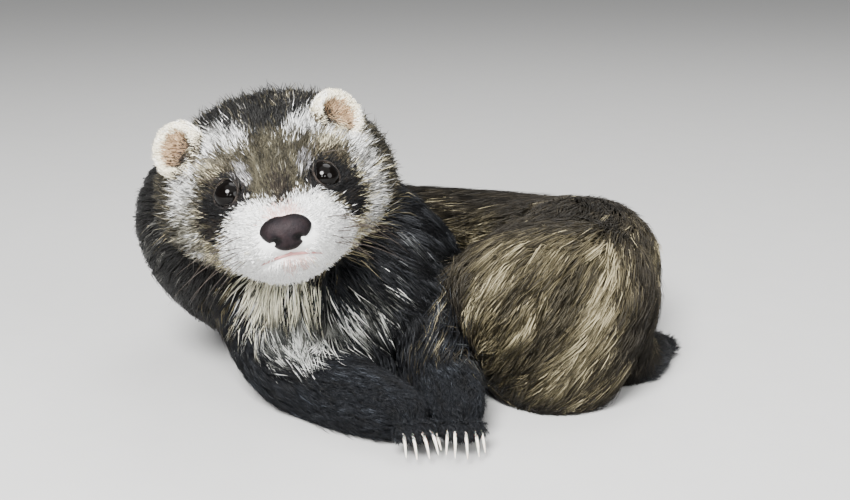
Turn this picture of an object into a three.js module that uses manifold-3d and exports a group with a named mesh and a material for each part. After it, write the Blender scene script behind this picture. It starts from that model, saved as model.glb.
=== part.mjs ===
// Life-size still model of a sable ferret lying curled on a floor with its head raised
// Millimetres, +Z up, the face towards -Y, the origin under the middle of the whole animal
import * as THREE from 'three';
import { mergeVertices } from 'three/addons/utils/BufferGeometryUtils.js';
import Module from 'manifold-3d';

const wasm = await Module();
wasm.setup();

// Sizes shared by the whole animal
const EYE_LEVEL = 75.5;
const GAP = 0.3;
const HEAD_ROLL = 11.1;
const HEAD_FORWARD = [0.125, -0.972, 0.2];
const EYEBALL_RADIUS = 4.2;
const EYE_PLACE = [7.4, 12.9, -1.2];
const EYE_AIM = [0.76, 0.5, 0.42];
const LID_RADIUS = 3.9;
const LID_WIDTH = 0.8;
const NOSE_SIZE = [4.6, 6.8, 4.2];
const NOSE_PLACE = [29.6, 0, -13.6];
const NOSTRIL_RADIUS = 1.3;
const NOSTRIL_SPREAD = 3.1;
const MOUTH_HALF_WIDTH = 13;
const MOUTH_TOP = -18.8;
const MOUTH_DROP = 4.4;
const LIP_RADIUS = 0.9;
const EAR_PLACE = { left: [-15, 20.6, 14.8], right: [-15, -25.0, 14.0] };
const EAR_SIZE = [4.8, 7.8, 8.8];
const EAR_CUP = [5.4, 5.7, 6.5];
const EAR_CUP_AHEAD = 3.5;
const EAR_CUP_ABOVE = 2.2;
const TOES = 5;
const TOE_RADIUS = 2.9;
const CLAW_RADIUS = 0.85;

// Coat: how far the core lies under the tips, and the shape of each lock along its length:
// part of the length, lift against the depth of the coat, part of the width, half thickness
const COAT_DEPTH = 3.4;
const LOCK_STEPS = [
  [0, -2.3, 0.55, 1.7],
  [0.32, -0.72, 0.95, 1.6],
  [0.68, -0.4, 0.8, 1.2],
  [1, 0.0, 0.16, 0.45],
];
const rowsFrom = (first, last, count) => {
  const gap = (last - first) / (count - 1);
  return Array.from({ length: count }, (unused, i) => first + gap * i);
};
const SPINE_LOCKS = {
  rows: rowsFrom(0.13, 0.84, 8), count: 5, from: -36, to: 210, run: 38, drop: 8,
  width: 12.5, raise: 0, tip: 0.6, seed: 11,
};
const CHEST_LOCKS = {
  rows: rowsFrom(0.36, 0.62, 2), count: 4, from: 18, to: 162, run: 26, drop: 4,
  width: 10.5, raise: 0, tip: 0.6, seed: 201,
};
const HAUNCH_LOCKS = {
  rows: rowsFrom(0.46, 0.8, 3), count: 4, from: -50, to: 118, run: 32, drop: 6,
  width: 11.5, raise: COAT_DEPTH, tip: 0.6, seed: 307,
};
const TAIL_LOCKS = {
  rows: rowsFrom(0.34, 0.8, 3), count: 3, from: -20, to: 200, run: 30, drop: 4,
  width: 8, raise: 0, tip: 0.6, seed: 401,
};

// Stations along each form: place, then half width, height above and depth below
const HEAD = [
  [32.0, 0, -14.8, 5.0, 3.4, 5.0],
  [27.5, 0, -14.2, 10.0, 7.2, 8.6],
  [21.0, 0, -13.8, 14.2, 10.4, 12.8],
  [13.0, 0, -12.8, 17.2, 13.6, 15.8],
  [5.0, 0, -11.5, 22.0, 17.8, 17.6],
  [-5.0, 0, -8.0, 28.5, 21.0, 21.2],
  [-18.0, 0, -4.0, 35.0, 25.6, 24.0],
  [-32.0, 0, 0.0, 37.2, 27.6, 26.4],
  [-45.0, 0, 1.0, 35.0, 27.0, 26.0],
  [-55.0, 0, 0.0, 28.0, 23.0, 23.0],
];
const SPINE = [
  [-2, 34, 68, 29, 28, 29],
  [-8, 56, 54, 47, 35, 41],
  [-5, 82, 42, 38, 27, 46],
  [10, 108, 33, 34, 22, 46],
  [36, 130, 29, 31, 18, 44],
  [66, 134, 27, 30, 17, 42],
  [89, 116, 27, 30, 19, 42],
  [98, 90, 29, 29, 23, 44],
  [95, 69, 31, 28, 25, 46],
  [86, 51, 31, 27, 25, 46],
  [71, 42, 30, 26, 23, 44],
  [58, 39, 28, 20, 19, 40],
];
const CHEST = [
  [2, 20, 62, 20, 10, 20],
  [8, 30, 50, 34, 22, 26],
  [15, 38, 34, 38, 30, 30],
  [19, 42, 14, 38, 32, 30],
  [20, 44, -8, 32, 30, 26],
];
const TAIL = [
  [74, 46, 20, 14, 15, 22],
  [63, 54, 13, 11.5, 11.5, 16],
  [55, 67, 10.5, 9.8, 10, 14],
  [52, 82, 10, 9.6, 9.6, 14],
  [49, 96, 9.5, 9.4, 9.2, 14],
  [38, 102, 9.5, 9.2, 9, 14],
  [29, 92, 9.5, 8.8, 8.4, 14],
  [29, 77, 9, 7.6, 7.4, 13],
  [33, 66, 8, 3.6, 4, 11],
];
const FORELEG = {
  left: [
    [30, 62, 52, 17, 17, 17],
    [38, 44, 38, 18, 17, 17],
    [42, 27, 22, 15, 14, 16],
    [46, 14, 15, 11.5, 10.5, 15],
    [50, 1, 12.5, 9.0, 7.5, 12],
    [51.6, -8, 10.5, 7.6, 6.2, 9.5],
    [52.2, -13, 9.0, 6.0, 4.0, 6.5],
  ],
  right: [
    [-24, 64, 50, 17, 17, 17],
    [-14, 44, 34, 18, 17, 17],
    [-2, 24, 17, 16, 13, 17],
    [12, 12, 12, 13.5, 10, 15],
    [26, -1, 11, 10.5, 7.5, 12],
    [35, -9, 10.5, 8.0, 6.2, 9.5],
    [37.6, -14, 9.0, 6.0, 4.0, 6.5],
  ],
};
const HINDLEG = {
  left: [
    [86, 58, 34, 18, 14, 20],
    [73, 64, 31, 17, 14, 18],
    [66, 73, 20, 12, 11, 14],
    [66, 78, 8, 7.5, 6, 11],
    [65.2, 85, 5, 5.6, 4.0, 8],
  ],
  right: [
    [50, 29, 18, 15, 17, 36],
    [66, 30, 26, 23, 23, 42],
    [84, 33, 28, 26, 25, 43],
    [97, 42, 24, 22, 24, 36],
    [108, 44, 9, 12, 9, 14],
    [117, 52, 6, 8, 6, 9],
    [122.5, 62, 4.8, 6.3, 4.2, 7],
  ],
};

// Materials
function coat(colour) {
  return new THREE.MeshStandardMaterial({ color: colour, roughness: 0.9, metalness: 0 });
}
const SABLE = 0x2c2a2a;
const BUFF = 0x9a8a68;
const CREAM = 0xd8d2bc;
const eyeGloss = new THREE.MeshStandardMaterial({ color: 0x0b0908, roughness: 0.05, metalness: 0 });
const noseSkin = new THREE.MeshStandardMaterial({ color: 0x5f3c3a, roughness: 0.45, metalness: 0 });
const clawHorn = new THREE.MeshStandardMaterial({ color: 0xd2ccc0, roughness: 0.35, metalness: 0 });

// Solids from geometry
function solidOf(geometry) {
  const bare = geometry.clone();
  bare.deleteAttribute('normal');
  bare.deleteAttribute('uv');
  const merged = mergeVertices(bare, 1e-4);
  const vertProperties = new Float32Array(merged.attributes.position.array);
  const triVerts = new Uint32Array(merged.index.array);
  return new wasm.Manifold(new wasm.Mesh({ numProp: 3, vertProperties, triVerts }));
}

function geometryOf(solid) {
  const mesh = solid.getMesh();
  const geometry = new THREE.BufferGeometry();
  const places = new Float32Array(mesh.numVert * 3);
  for (let i = 0; i < mesh.numVert; i += 1) {
    for (let k = 0; k < 3; k += 1) {
      places[i * 3 + k] = mesh.vertProperties[i * mesh.numProp + k];
    }
  }
  geometry.setAttribute('position', new THREE.BufferAttribute(places, 3));
  geometry.setIndex(new THREE.BufferAttribute(new Uint32Array(mesh.triVerts), 1));
  geometry.computeVertexNormals();
  return geometry;
}

// A form with rounded ends: a smooth line of stations, each with its own girth
const UPWARD = new THREE.Vector3(0, 0, 1);
function makePath(stations, up = UPWARD) {
  const places = stations.map((s) => new THREE.Vector3(s[0], s[1], s[2]));
  const sizes = stations.map((s) => new THREE.Vector3(s[3], s[4], s[5]));
  return {
    up,
    cap: 0.7 / (stations.length - 1),
    line: new THREE.CatmullRomCurve3(places, false, 'catmullrom', 0.5),
    girth: new THREE.CatmullRomCurve3(sizes, false, 'catmullrom', 0.5),
  };
}

// A place on a form: u along it, cx and cz around it, grow outside it
function onPath(path, u, cx, cz, grow) {
  const k = Math.min(u, 1 - u) / path.cap;
  const round = k < 1 ? Math.sqrt(Math.max(0, 1 - (1 - k) ** 2)) : 1;
  const size = path.girth.getPoint(u);
  const forward = path.line.getTangent(u);
  const side = new THREE.Vector3().crossVectors(path.up, forward).normalize();
  const top = new THREE.Vector3().crossVectors(forward, side);
  const place = path.line.getPoint(u).addScaledVector(forward, grow * (2 * u - 1));
  place.addScaledVector(side, cx * round * (size.x + grow));
  return place.addScaledVector(top, cz * round * ((cz > 0 ? size.y : size.z) + grow));
}

function loft(stations, around, along, grow = 0, up = UPWARD) {
  const path = makePath(stations, up);
  const geometry = new THREE.SphereGeometry(1, around, along);
  const points = geometry.attributes.position;
  for (let i = 0; i < points.count; i += 1) {
    const y = THREE.MathUtils.clamp(points.getY(i), -1, 1);
    const ring = Math.sqrt(1 - y * y);
    const cx = ring > 1e-6 ? points.getX(i) / ring : 1;
    const cz = ring > 1e-6 ? points.getZ(i) / ring : 0;
    const place = onPath(path, (1 - y) / 2, cx, cz, grow);
    points.setXYZ(i, place.x, place.y, place.z);
  }
  return solidOf(geometry);
}

// Flat, tapered locks in staggered rows over a form, each rooted in it and bending along it
function locksOn(stations, up, plan, grow = 0) {
  const path = makePath(stations, up);
  const length = path.line.getLength();
  const vary = () => THREE.MathUtils.seededRandom() - 0.5;
  const locks = [];
  plan.rows.forEach((row, number) => {
    for (let i = 0; i < plan.count; i += 1) {
      THREE.MathUtils.seededRandom(plan.seed + number * 31 + i);
      const step = (plan.to - plan.from) / plan.count;
      const start = plan.from + step * (i + 0.25 + 0.5 * (number % 2) + 0.2 * vary());
      const slope = Math.cos(THREE.MathUtils.degToRad(start));
      const drop = -Math.max(-1, Math.min(1, slope * 1.6)) * plan.drop;
      const run = (plan.run * (1 + 0.24 * vary())) / length;
      const root = row + 0.3 * run * vary();
      const onCoat = (k, turn, lift) => {
        const angle = THREE.MathUtils.degToRad(start + turn);
        const u = path.line.getUtoTmapping(Math.min(0.995, root + run * k));
        return onPath(path, u, Math.cos(angle), Math.sin(angle), lift);
      };
      const stations4 = LOCK_STEPS.map(([k, lift, wide, thick]) => {
        const rise = lift * COAT_DEPTH + plan.raise + (k === 1 ? plan.tip : 0);
        const place = onCoat(k, drop * k * k, rise);
        return [place.x, place.y, place.z, wide * plan.width, thick, thick];
      });
      const outward = onCoat(0.4, drop * 0.3, 2).sub(onCoat(0.4, drop * 0.3, -2)).normalize();
      locks.push(loft(stations4, 4, 4, grow, outward));
    }
  });
  return locks;
}

function ball(radius, around = 16, along = 12) {
  return new THREE.SphereGeometry(radius, around, along);
}

function union(list) {
  return list.reduce((sum, item) => sum.add(item));
}

// The largest closed surface of a solid
function largest(solid) {
  const pieces = solid.decompose();
  return pieces.reduce((best, item) => (item.volume() > best.volume() ? item : best));
}

// The piece of a parted solid whose middle lies nearest to a place
function pieceNear(pieces, place) {
  const target = new THREE.Vector3(...place);
  const distance = (item) => {
    const box = item.boundingBox();
    const low = new THREE.Vector3(...box.min);
    const high = new THREE.Vector3(...box.max);
    return low.add(high).multiplyScalar(0.5).distanceTo(target);
  };
  const large = pieces.filter((item) => item.volume() > 500);
  return large.reduce((best, item) => (distance(item) < distance(best) ? item : best));
}

// A thin flat slab that parts a solid, across a given direction
function slab(place, direction, width, height) {
  const turn = new THREE.Quaternion().setFromUnitVectors(
    new THREE.Vector3(0, 0, 1),
    new THREE.Vector3(...direction).normalize(),
  );
  const geometry = new THREE.BoxGeometry(width, height, GAP);
  geometry.applyQuaternion(turn);
  geometry.translate(...place);
  return solidOf(geometry);
}

const below = solidOf(new THREE.BoxGeometry(600, 600, 100).translate(50, 50, -50));
function onFloor(solid) {
  return solid.subtract(below);
}

// Head axes: f towards the nose, l towards the animal's left, u up
const f = new THREE.Vector3(...HEAD_FORWARD).normalize();
const lean = THREE.MathUtils.degToRad(HEAD_ROLL);
const l = new THREE.Vector3(Math.cos(lean), 0.26 * Math.sin(lean), 0.966 * Math.sin(lean));
l.addScaledVector(f, -l.dot(f)).normalize();
const u = new THREE.Vector3().crossVectors(f, l);
const headFrame = new THREE.Matrix4().makeBasis(f, l, u);
headFrame.setPosition(0, 0, EYE_LEVEL);

function inHead(solid) {
  return solid.transform(headFrame.elements.slice());
}

function headBall(place, size, grow = 0, turn = [0, 0, 0], around = 16, along = 12) {
  const geometry = ball(1, around, along);
  geometry.scale(size[0] + grow, size[1] + grow, size[2] + grow);
  geometry.applyMatrix4(new THREE.Matrix4().makeRotationFromEuler(new THREE.Euler(...turn)));
  geometry.translate(...place);
  return solidOf(geometry);
}

// Head
const upInHead = new THREE.Vector3(0, 0, 1);
function headForm(grow) {
  return loft(HEAD, 26, 22, grow, upInHead);
}
function eyeForm(side, grow) {
  const place = [EYE_PLACE[0], EYE_PLACE[1] * side, EYE_PLACE[2]];
  return headBall(place, [EYEBALL_RADIUS, EYEBALL_RADIUS, EYEBALL_RADIUS], grow, [0, 0, 0], 12, 8);
}
function noseForm(grow) {
  return headBall(NOSE_PLACE, NOSE_SIZE, grow, [0, 0, 0], 12, 8);
}

// A place on the surface of the head, straight back from a point ahead of it
const headPlain = headForm(0);
const headProbe = new THREE.Mesh(geometryOf(headPlain), new THREE.MeshBasicMaterial());
const ray = new THREE.Raycaster();
function faceAt(side, height) {
  ray.set(new THREE.Vector3(80, side, height), new THREE.Vector3(-1, 0, 0));
  return ray.intersectObject(headProbe)[0].point;
}

// The line of the mouth from corner to corner, and a lip beside it
function mouthLine(shift, sink, radius) {
  const stations = [];
  for (let i = -6; i <= 6; i += 1) {
    const t = i / 6;
    const side = MOUTH_HALF_WIDTH * t;
    const height = MOUTH_TOP - MOUTH_DROP * Math.abs(t) ** 1.4 + shift;
    const at = faceAt(side, height);
    const girth = radius * (1 - 0.45 * t * t);
    stations.push([at.x - sink, at.y, at.z, girth, girth, girth]);
  }
  return loft(stations, 4, 10, 0, new THREE.Vector3(1, 0, 0));
}

function lidForm(side) {
  const aim = new THREE.Vector3(EYE_AIM[0], EYE_AIM[1] * side, EYE_AIM[2]).normalize();
  const turn = new THREE.Quaternion().setFromUnitVectors(new THREE.Vector3(0, 0, 1), aim);
  const ring = new THREE.TorusGeometry(LID_RADIUS, LID_WIDTH, 4, 10);
  ring.applyQuaternion(turn);
  ring.translate(EYE_PLACE[0], EYE_PLACE[1] * side, EYE_PLACE[2]);
  ring.translate(aim.x * 1.9, aim.y * 1.9, aim.z * 1.9);
  return solidOf(ring);
}

const SIDES = { left: 1, right: -1 };
function earTurn(name) {
  return [SIDES[name] * -0.35, -0.6, SIDES[name] * 0.35];
}
function earForm(name, grow) {
  return headBall(EAR_PLACE[name], EAR_SIZE, grow, earTurn(name), 14, 10);
}
function earCup(name) {
  const [ahead, across, above] = EAR_PLACE[name];
  const place = [ahead + EAR_CUP_AHEAD, across + SIDES[name] * 0.6, above + EAR_CUP_ABOVE];
  return headBall(place, EAR_CUP, 0, earTurn(name), 10, 8);
}

let head = headPlain.add(mouthLine(-1.1, 0.35, LIP_RADIUS));
head = head.add(lidForm(1)).add(lidForm(-1)).subtract(mouthLine(0, 0.1, 0.55));
for (const side of [-1, 1]) {
  head = head.subtract(eyeForm(side, GAP));
}
head = head.subtract(noseForm(GAP)).subtract(earCup('left')).subtract(earCup('right'));

let nose = noseForm(0);
for (const side of [-1, 1]) {
  const place = [NOSE_PLACE[0] + 3.6, side * NOSTRIL_SPREAD, NOSE_PLACE[2] - 0.3];
  const size = [2.4, NOSTRIL_RADIUS, NOSTRIL_RADIUS * 0.85];
  nose = nose.subtract(headBall(place, size, 0, [0, 0, side * 0.5], 8, 6));
}

const nodes = [];
function addNode(name, solid, material) {
  const rounded = solidOf(geometryOf(largest(solid)));
  nodes.push({ name, solid: largest(rounded), material });
}

addNode('head', inHead(head), coat(CREAM));
addNode('nose', inHead(nose), noseSkin);
for (const [name, side] of Object.entries(SIDES)) {
  addNode(`eye_${name}`, inHead(eyeForm(side, 0)), eyeGloss);
  const ear = earForm(name, 0).subtract(earCup(name)).subtract(headForm(GAP));
  addNode(`ear_${name}`, inHead(ear), coat(CREAM));
}

// Trunk: the spine from the neck round to the rump, with the chest
const frontward = new THREE.Vector3(0, -1, 0.2);
function trunkCore(grow) {
  return loft(SPINE, 16, 26, grow - COAT_DEPTH).add(loft(CHEST, 14, 12, grow - COAT_DEPTH, frontward));
}
const roomOf = (form) => form(GAP * 1.4).add(form(GAP * 2.4));
const trunkRoom = roomOf(trunkCore);
const headRoom = inHead(headForm(GAP));

// Toes and claws of one foot, fanned about its forward direction
function toePlaces(foot, heading, spread) {
  const places = [];
  for (let i = 0; i < TOES; i += 1) {
    const t = (i / (TOES - 1)) * 2 - 1;
    const angle = heading + t * spread;
    const reach = 7.2 - 1.6 * t * t;
    places.push({
      angle,
      heading,
      place: [foot[0] + Math.cos(angle) * reach, foot[1] + Math.sin(angle) * reach, foot[2]],
    });
  }
  return places;
}
function toeForm(toe, grow) {
  const geometry = ball(1, 6, 4);
  geometry.scale(TOE_RADIUS * 1.3 + grow, TOE_RADIUS + grow, TOE_RADIUS + grow);
  geometry.rotateZ(toe.angle);
  geometry.translate(...toe.place);
  return solidOf(geometry);
}
function clawForm(toe, drop, grow) {
  const aim = toe.heading + (toe.angle - toe.heading) * 0.35;
  const ahead = [Math.cos(aim), Math.sin(aim)];
  const [x, y, z] = toe.place;
  const reach = [1.4, 3.6, 5.6, 6.8];
  const lift = [0.6, 0.4, -drop * 0.45, -drop];
  const girth = [CLAW_RADIUS * 1.1, CLAW_RADIUS, CLAW_RADIUS * 0.75, 0.28];
  const stations = reach.map((r, i) => {
    const g = girth[i];
    return [x + ahead[0] * r, y + ahead[1] * r, z + lift[i], g * 0.75, g, g];
  });
  return loft(stations, 5, 4, grow);
}

// Limbs: an upper length and a foot, with toes and claws
function limb(name, stations, cutAt, spread, drop, blockers, colour, fine = [10, 11], locks = () => []) {
  const form = (grow) => union([loft(stations, fine[0], fine[1], grow), ...locks(grow)]);
  const last = stations[stations.length - 1];
  const before = stations[stations.length - 2];
  const heading = Math.atan2(last[1] - before[1], last[0] - before[0]);
  const foot = [last[0] - Math.cos(heading) * 2, last[1] - Math.sin(heading) * 2, last[2] - 1.2];
  const toes = toePlaces(foot, heading, spread);
  let solid = union([form(0), ...toes.map((toe) => toeForm(toe, 0))]);
  for (const blocker of blockers) {
    solid = solid.subtract(blocker);
  }
  for (const toe of toes) {
    solid = solid.subtract(clawForm(toe, drop, GAP));
  }
  const at = new THREE.Vector3(...stations[cutAt]);
  const next = new THREE.Vector3(...stations[cutAt + 1]);
  const direction = next.clone().sub(at).normalize();
  const across = stations[cutAt][3] * 4.5;
  const middle = at.clone().lerp(next, 0.5);
  solid = solid.subtract(slab(middle.toArray(), direction.toArray(), across, across));
  const pieces = onFloor(solid).decompose().sort((a, b) => b.volume() - a.volume()).slice(0, 2);
  const footFirst = pieceNear(pieces, last);
  const other = pieces.find((item) => item !== footFirst);
  addNode(`${name}_upper`, other, coat(colour));
  addNode(`${name}_foot`, footFirst, coat(SABLE));
  toes.forEach((toe, i) => {
    addNode(`${name}_claw_${i + 1}`, onFloor(clawForm(toe, drop, 0)), clawHorn);
  });
  return union([roomOf(form), ...toes.map((toe) => toeForm(toe, GAP * 2))]);
}

const blockers = [trunkRoom, headRoom];
const tailForm = (grow) => union([
  loft(TAIL, 8, 18, grow - 2.0),
  ...locksOn(TAIL, UPWARD, TAIL_LOCKS, grow),
]);
const tailRoom = roomOf(tailForm);
const frontLeft = limb('foreleg_left', FORELEG.left, 2, 0.75, 6.0, blockers, SABLE);
blockers.push(frontLeft);
const frontRight = limb('foreleg_right', FORELEG.right, 2, 0.75, 6.0, blockers, SABLE);
blockers.push(frontRight, tailRoom);
const hindLeft = limb('hindleg_left', HINDLEG.left, 2, 0.6, 2.6, blockers, SABLE);
blockers.push(hindLeft);
const haunch = [...HINDLEG.right].reverse();
const haunchLocks = (grow) => locksOn(haunch, UPWARD, HAUNCH_LOCKS, grow);
blockers.push(limb('hindleg_right', HINDLEG.right, 3, 0.6, 2.6, blockers, BUFF, [12, 18], haunchLocks));

// Tail in three lengths
let tail = tailForm(0).subtract(trunkRoom);
for (const at of [2, 4]) {
  const here = TAIL[at];
  const next = TAIL[at + 1];
  const back = TAIL[at - 1];
  tail = tail.subtract(slab(
    [here[0], here[1], here[2]],
    [next[0] - back[0], next[1] - back[1], 0],
    34,
    30,
  ));
}
const tailPieces = onFloor(tail).decompose();
addNode('tail_base', pieceNear(tailPieces, [62, 58, 12]), coat(SABLE));
addNode('tail_middle', pieceNear(tailPieces, [54, 88, 9]), coat(SABLE));
addNode('tail_tip', pieceNear(tailPieces, [41, 82, 9]), coat(SABLE));

// The trunk's locks lie clear of the limbs and the tail, and thin cuts part its lengths
let trunkLocks = union([
  ...locksOn(SPINE, UPWARD, SPINE_LOCKS),
  ...locksOn(CHEST, frontward, CHEST_LOCKS),
]);
for (const room of blockers.slice(2)) {
  trunkLocks = trunkLocks.subtract(room);
}
let trunk = trunkCore(0).add(trunkLocks).subtract(headRoom);
for (const name of Object.keys(SIDES)) {
  trunk = trunk.subtract(inHead(earForm(name, GAP)));
}
const cuts = [
  slab([0, 50, 50], [0, -0.24, 0.97], 114, 100),
  slab([4, 84, 40], [0.25, 1, 0], 130, 130),
  slab([50, 134, 30], [1, 0.1, 0], 100, 100),
  slab([97, 90, 30], [0, 1, 0], 84, 100),
];
for (const cut of cuts) {
  trunk = trunk.subtract(cut);
}
const trunkPieces = onFloor(trunk).decompose();
const trunkNames = {
  neck: [[-6, 50, 60], SABLE],
  chest: [[15, 45, 30], SABLE],
  back: [[15, 120, 30], BUFF],
  loin: [[85, 120, 30], BUFF],
  hips: [[85, 55, 30], BUFF],
};
for (const [name, [place, colour]] of Object.entries(trunkNames)) {
  addNode(name, pieceNear(trunkPieces, place), coat(colour));
}

// The whole animal, moved so that the origin is under the middle of its box
const animal = new THREE.Group();
for (const node of nodes) {
  const mesh = new THREE.Mesh(geometryOf(node.solid), node.material);
  mesh.name = node.name;
  animal.add(mesh);
}
const box = new THREE.Box3().setFromObject(animal);
animal.position.set(-(box.min.x + box.max.x) / 2, -(box.min.y + box.max.y) / 2, -box.min.z);

export default animal;
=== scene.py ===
import math

import bpy
import numpy as np
from bpy.props import FloatProperty, FloatVectorProperty, IntProperty, PointerProperty
from mathutils import Matrix, Vector
from mathutils.bvhtree import BVHTree
from mathutils.kdtree import KDTree


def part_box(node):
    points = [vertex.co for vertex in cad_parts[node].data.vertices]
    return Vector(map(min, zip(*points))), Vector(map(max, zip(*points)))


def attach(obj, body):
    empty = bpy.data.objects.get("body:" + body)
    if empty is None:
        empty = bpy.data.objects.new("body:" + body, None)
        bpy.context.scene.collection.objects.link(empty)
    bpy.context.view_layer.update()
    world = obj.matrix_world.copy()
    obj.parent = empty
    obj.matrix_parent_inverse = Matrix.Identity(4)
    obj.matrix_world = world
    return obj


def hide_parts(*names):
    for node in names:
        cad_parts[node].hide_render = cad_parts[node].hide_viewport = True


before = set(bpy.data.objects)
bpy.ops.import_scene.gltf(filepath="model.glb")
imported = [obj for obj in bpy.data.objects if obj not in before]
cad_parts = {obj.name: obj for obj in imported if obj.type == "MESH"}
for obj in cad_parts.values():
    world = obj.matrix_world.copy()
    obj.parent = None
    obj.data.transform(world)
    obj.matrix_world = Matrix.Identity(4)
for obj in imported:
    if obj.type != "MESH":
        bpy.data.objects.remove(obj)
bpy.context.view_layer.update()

bl_info = {
    "name": "Lying Ferret",
    "version": (1, 0, 0),
    "blender": (4, 5, 0),
    "location": "View3D > Sidebar > Ferret",
    "description": "Skin, coat, eyes, nose, whiskers and claws of a life-size lying ferret",
    "category": "Object",
}

MM = 0.001
UP = np.array([0.0, 0.0, 1.0])

# The head's axes, in millimetres about the middle between the eyes at their height
EYE_LEVEL = 75.5
EYE_PLACE = (7.4, 12.9, -1.2)
EYE_AIM = (0.76, 0.5, 0.42)
NOSE_PLACE = (29.6, 0.0, -13.6)
HEAD_ROLL = math.radians(11.1)
HEAD_MIDDLE = np.array([0.0, 0.0, EYE_LEVEL])
F = np.array([0.125, -0.972, 0.2])
F = F / np.linalg.norm(F)
L = np.array([math.cos(HEAD_ROLL), 0.26 * math.sin(HEAD_ROLL), 0.966 * math.sin(HEAD_ROLL)])
L = L - F * L.dot(F)
L = L / np.linalg.norm(L)
U = np.cross(F, L)
HEAD_AXES = np.array([F, L, U])


def to_head(places):
    """Places of the body in the head's axes: forward, to the image's right, up"""
    return (places - HEAD_MIDDLE) @ HEAD_AXES.T


def beside(values, sign):
    """A place or a direction of one eye, on the side that the sign names"""
    return np.array([values[0], values[1] * sign, values[2]])


def middle_of(node):
    low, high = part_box(node)
    return (np.array(low) + np.array(high)) / 2 / MM


# The eyes say where the body's own measures lie in the frame
EYES_MIDDLE = HEAD_MIDDLE + F * EYE_PLACE[0] + U * EYE_PLACE[2]
SHIFT = (middle_of("eye_left") + middle_of("eye_right")) / 2 - EYES_MIDDLE

# Stations along each form, in millimetres: place, half width, height above, depth below
HEAD = [
    (32.0, 0, -14.8, 5.0, 3.4, 5.0), (27.5, 0, -14.2, 10.0, 7.2, 8.6),
    (21.0, 0, -13.8, 14.2, 10.4, 12.8), (13.0, 0, -12.8, 17.2, 13.6, 15.8),
    (5.0, 0, -11.5, 22.0, 17.8, 17.6), (-5.0, 0, -8.0, 28.5, 21.0, 21.2),
    (-18.0, 0, -4.0, 35.0, 25.6, 24.0), (-32.0, 0, 0.0, 37.2, 27.6, 26.4),
    (-45.0, 0, 1.0, 35.0, 27.0, 26.0), (-55.0, 0, 0.0, 28.0, 23.0, 23.0),
]
SPINE = [
    (-2, 34, 68, 29, 28, 29), (-8, 56, 54, 47, 35, 41), (-5, 82, 42, 38, 27, 46),
    (10, 108, 33, 34, 22, 46), (36, 130, 29, 31, 18, 44), (66, 134, 27, 30, 17, 42),
    (89, 116, 27, 30, 19, 42), (98, 90, 29, 29, 23, 44), (95, 69, 31, 28, 25, 46),
    (86, 51, 31, 27, 25, 46), (71, 42, 30, 26, 23, 44), (58, 39, 28, 20, 19, 40),
]
CHEST = [
    (2, 20, 62, 20, 10, 20), (8, 30, 50, 34, 22, 26), (15, 38, 34, 38, 30, 30),
    (19, 42, 14, 38, 32, 30), (20, 44, -8, 32, 30, 26),
]
TAIL = [
    (74, 46, 20, 14, 15, 22), (63, 54, 13, 11.5, 11.5, 16), (55, 67, 10.5, 9.8, 10, 14),
    (52, 82, 10, 9.6, 9.6, 14), (49, 96, 9.5, 9.4, 9.2, 14), (38, 102, 9.5, 9.2, 9, 14),
    (29, 92, 9.5, 8.8, 8.4, 14), (29, 77, 9, 7.6, 7.4, 13), (33, 66, 8, 3.6, 4, 11),
]
FORELEG_LEFT = [
    (30, 62, 52, 17, 17, 17), (38, 44, 38, 18, 17, 17), (42, 27, 22, 15, 14, 16),
    (46, 14, 15, 11.5, 10.5, 15), (50, 1, 12.5, 9, 7.5, 12), (51.6, -8, 10.5, 7.6, 6.2, 9.5),
    (52.2, -13, 9, 6, 4, 6.5),
]
FORELEG_RIGHT = [
    (-24, 64, 50, 17, 17, 17), (-14, 44, 34, 18, 17, 17), (-2, 24, 17, 16, 13, 17),
    (12, 12, 12, 13.5, 10, 15), (26, -1, 11, 10.5, 7.5, 12), (35, -9, 10.5, 8, 6.2, 9.5),
    (37.6, -14, 9, 6, 4, 6.5),
]
HINDLEG_LEFT = [
    (86, 58, 34, 18, 14, 20), (73, 64, 31, 17, 14, 18), (66, 73, 20, 12, 11, 14),
    (66, 78, 8, 7.5, 6, 11), (65.2, 85, 5, 5.6, 4, 8),
]
HINDLEG_RIGHT = [
    (50, 29, 18, 18, 20, 38), (66, 30, 26, 26, 26, 44), (84, 33, 28, 29, 28, 45),
    (97, 42, 24, 25, 27, 38), (108, 44, 9, 12, 9, 14), (117, 52, 6, 8, 6, 9),
    (122.5, 62, 4.8, 6.3, 4.2, 7),
]
EAR_PLACE = {"left": (-15.0, 20.6, 14.8), "right": (-15.0, -25.0, 14.0)}
EAR_SIZE = np.array([4.8, 7.8, 8.8])
EAR_DISH = 4.6
EAR_MOUTH = 0.70
SIDES = {"left": 1.0, "right": -1.0}
TOES = 5
TOE_RADIUS = 2.9
LID_RADIUS = 3.95
LID_AHEAD = 1.95
NOSE_SIZE = (4.2, 6.9, 4.7)
NOSE_RISE = 0.6

# Lamps about the stage, in metres and watts: name, place, radius, power
LAMPS = [
    ("key", (-0.18, -0.70, 0.66), 0.19, 190.0),
    ("fill", (0.80, -0.70, 0.45), 0.34, 46.0),
    ("top", (0.20, 0.30, 1.00), 0.34, 32.0),
    ("glint_left", (-0.10, -0.52, 0.22), 0.014, 1.9),
    ("glint_right", (0.08, -0.52, 0.23), 0.014, 1.9),
]
SKY_LIGHT = 1.5
SKY_WIDTH = 1.2
WORLD_LIGHT = 0.26
CAMERA_PLACE = np.array([41.8, -323.7, 142.6])
CAMERA_PITCH = math.radians(75)
CAMERA_SENSOR = 36
CAMERA_LENS = 1175 / 850 * 36

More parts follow.
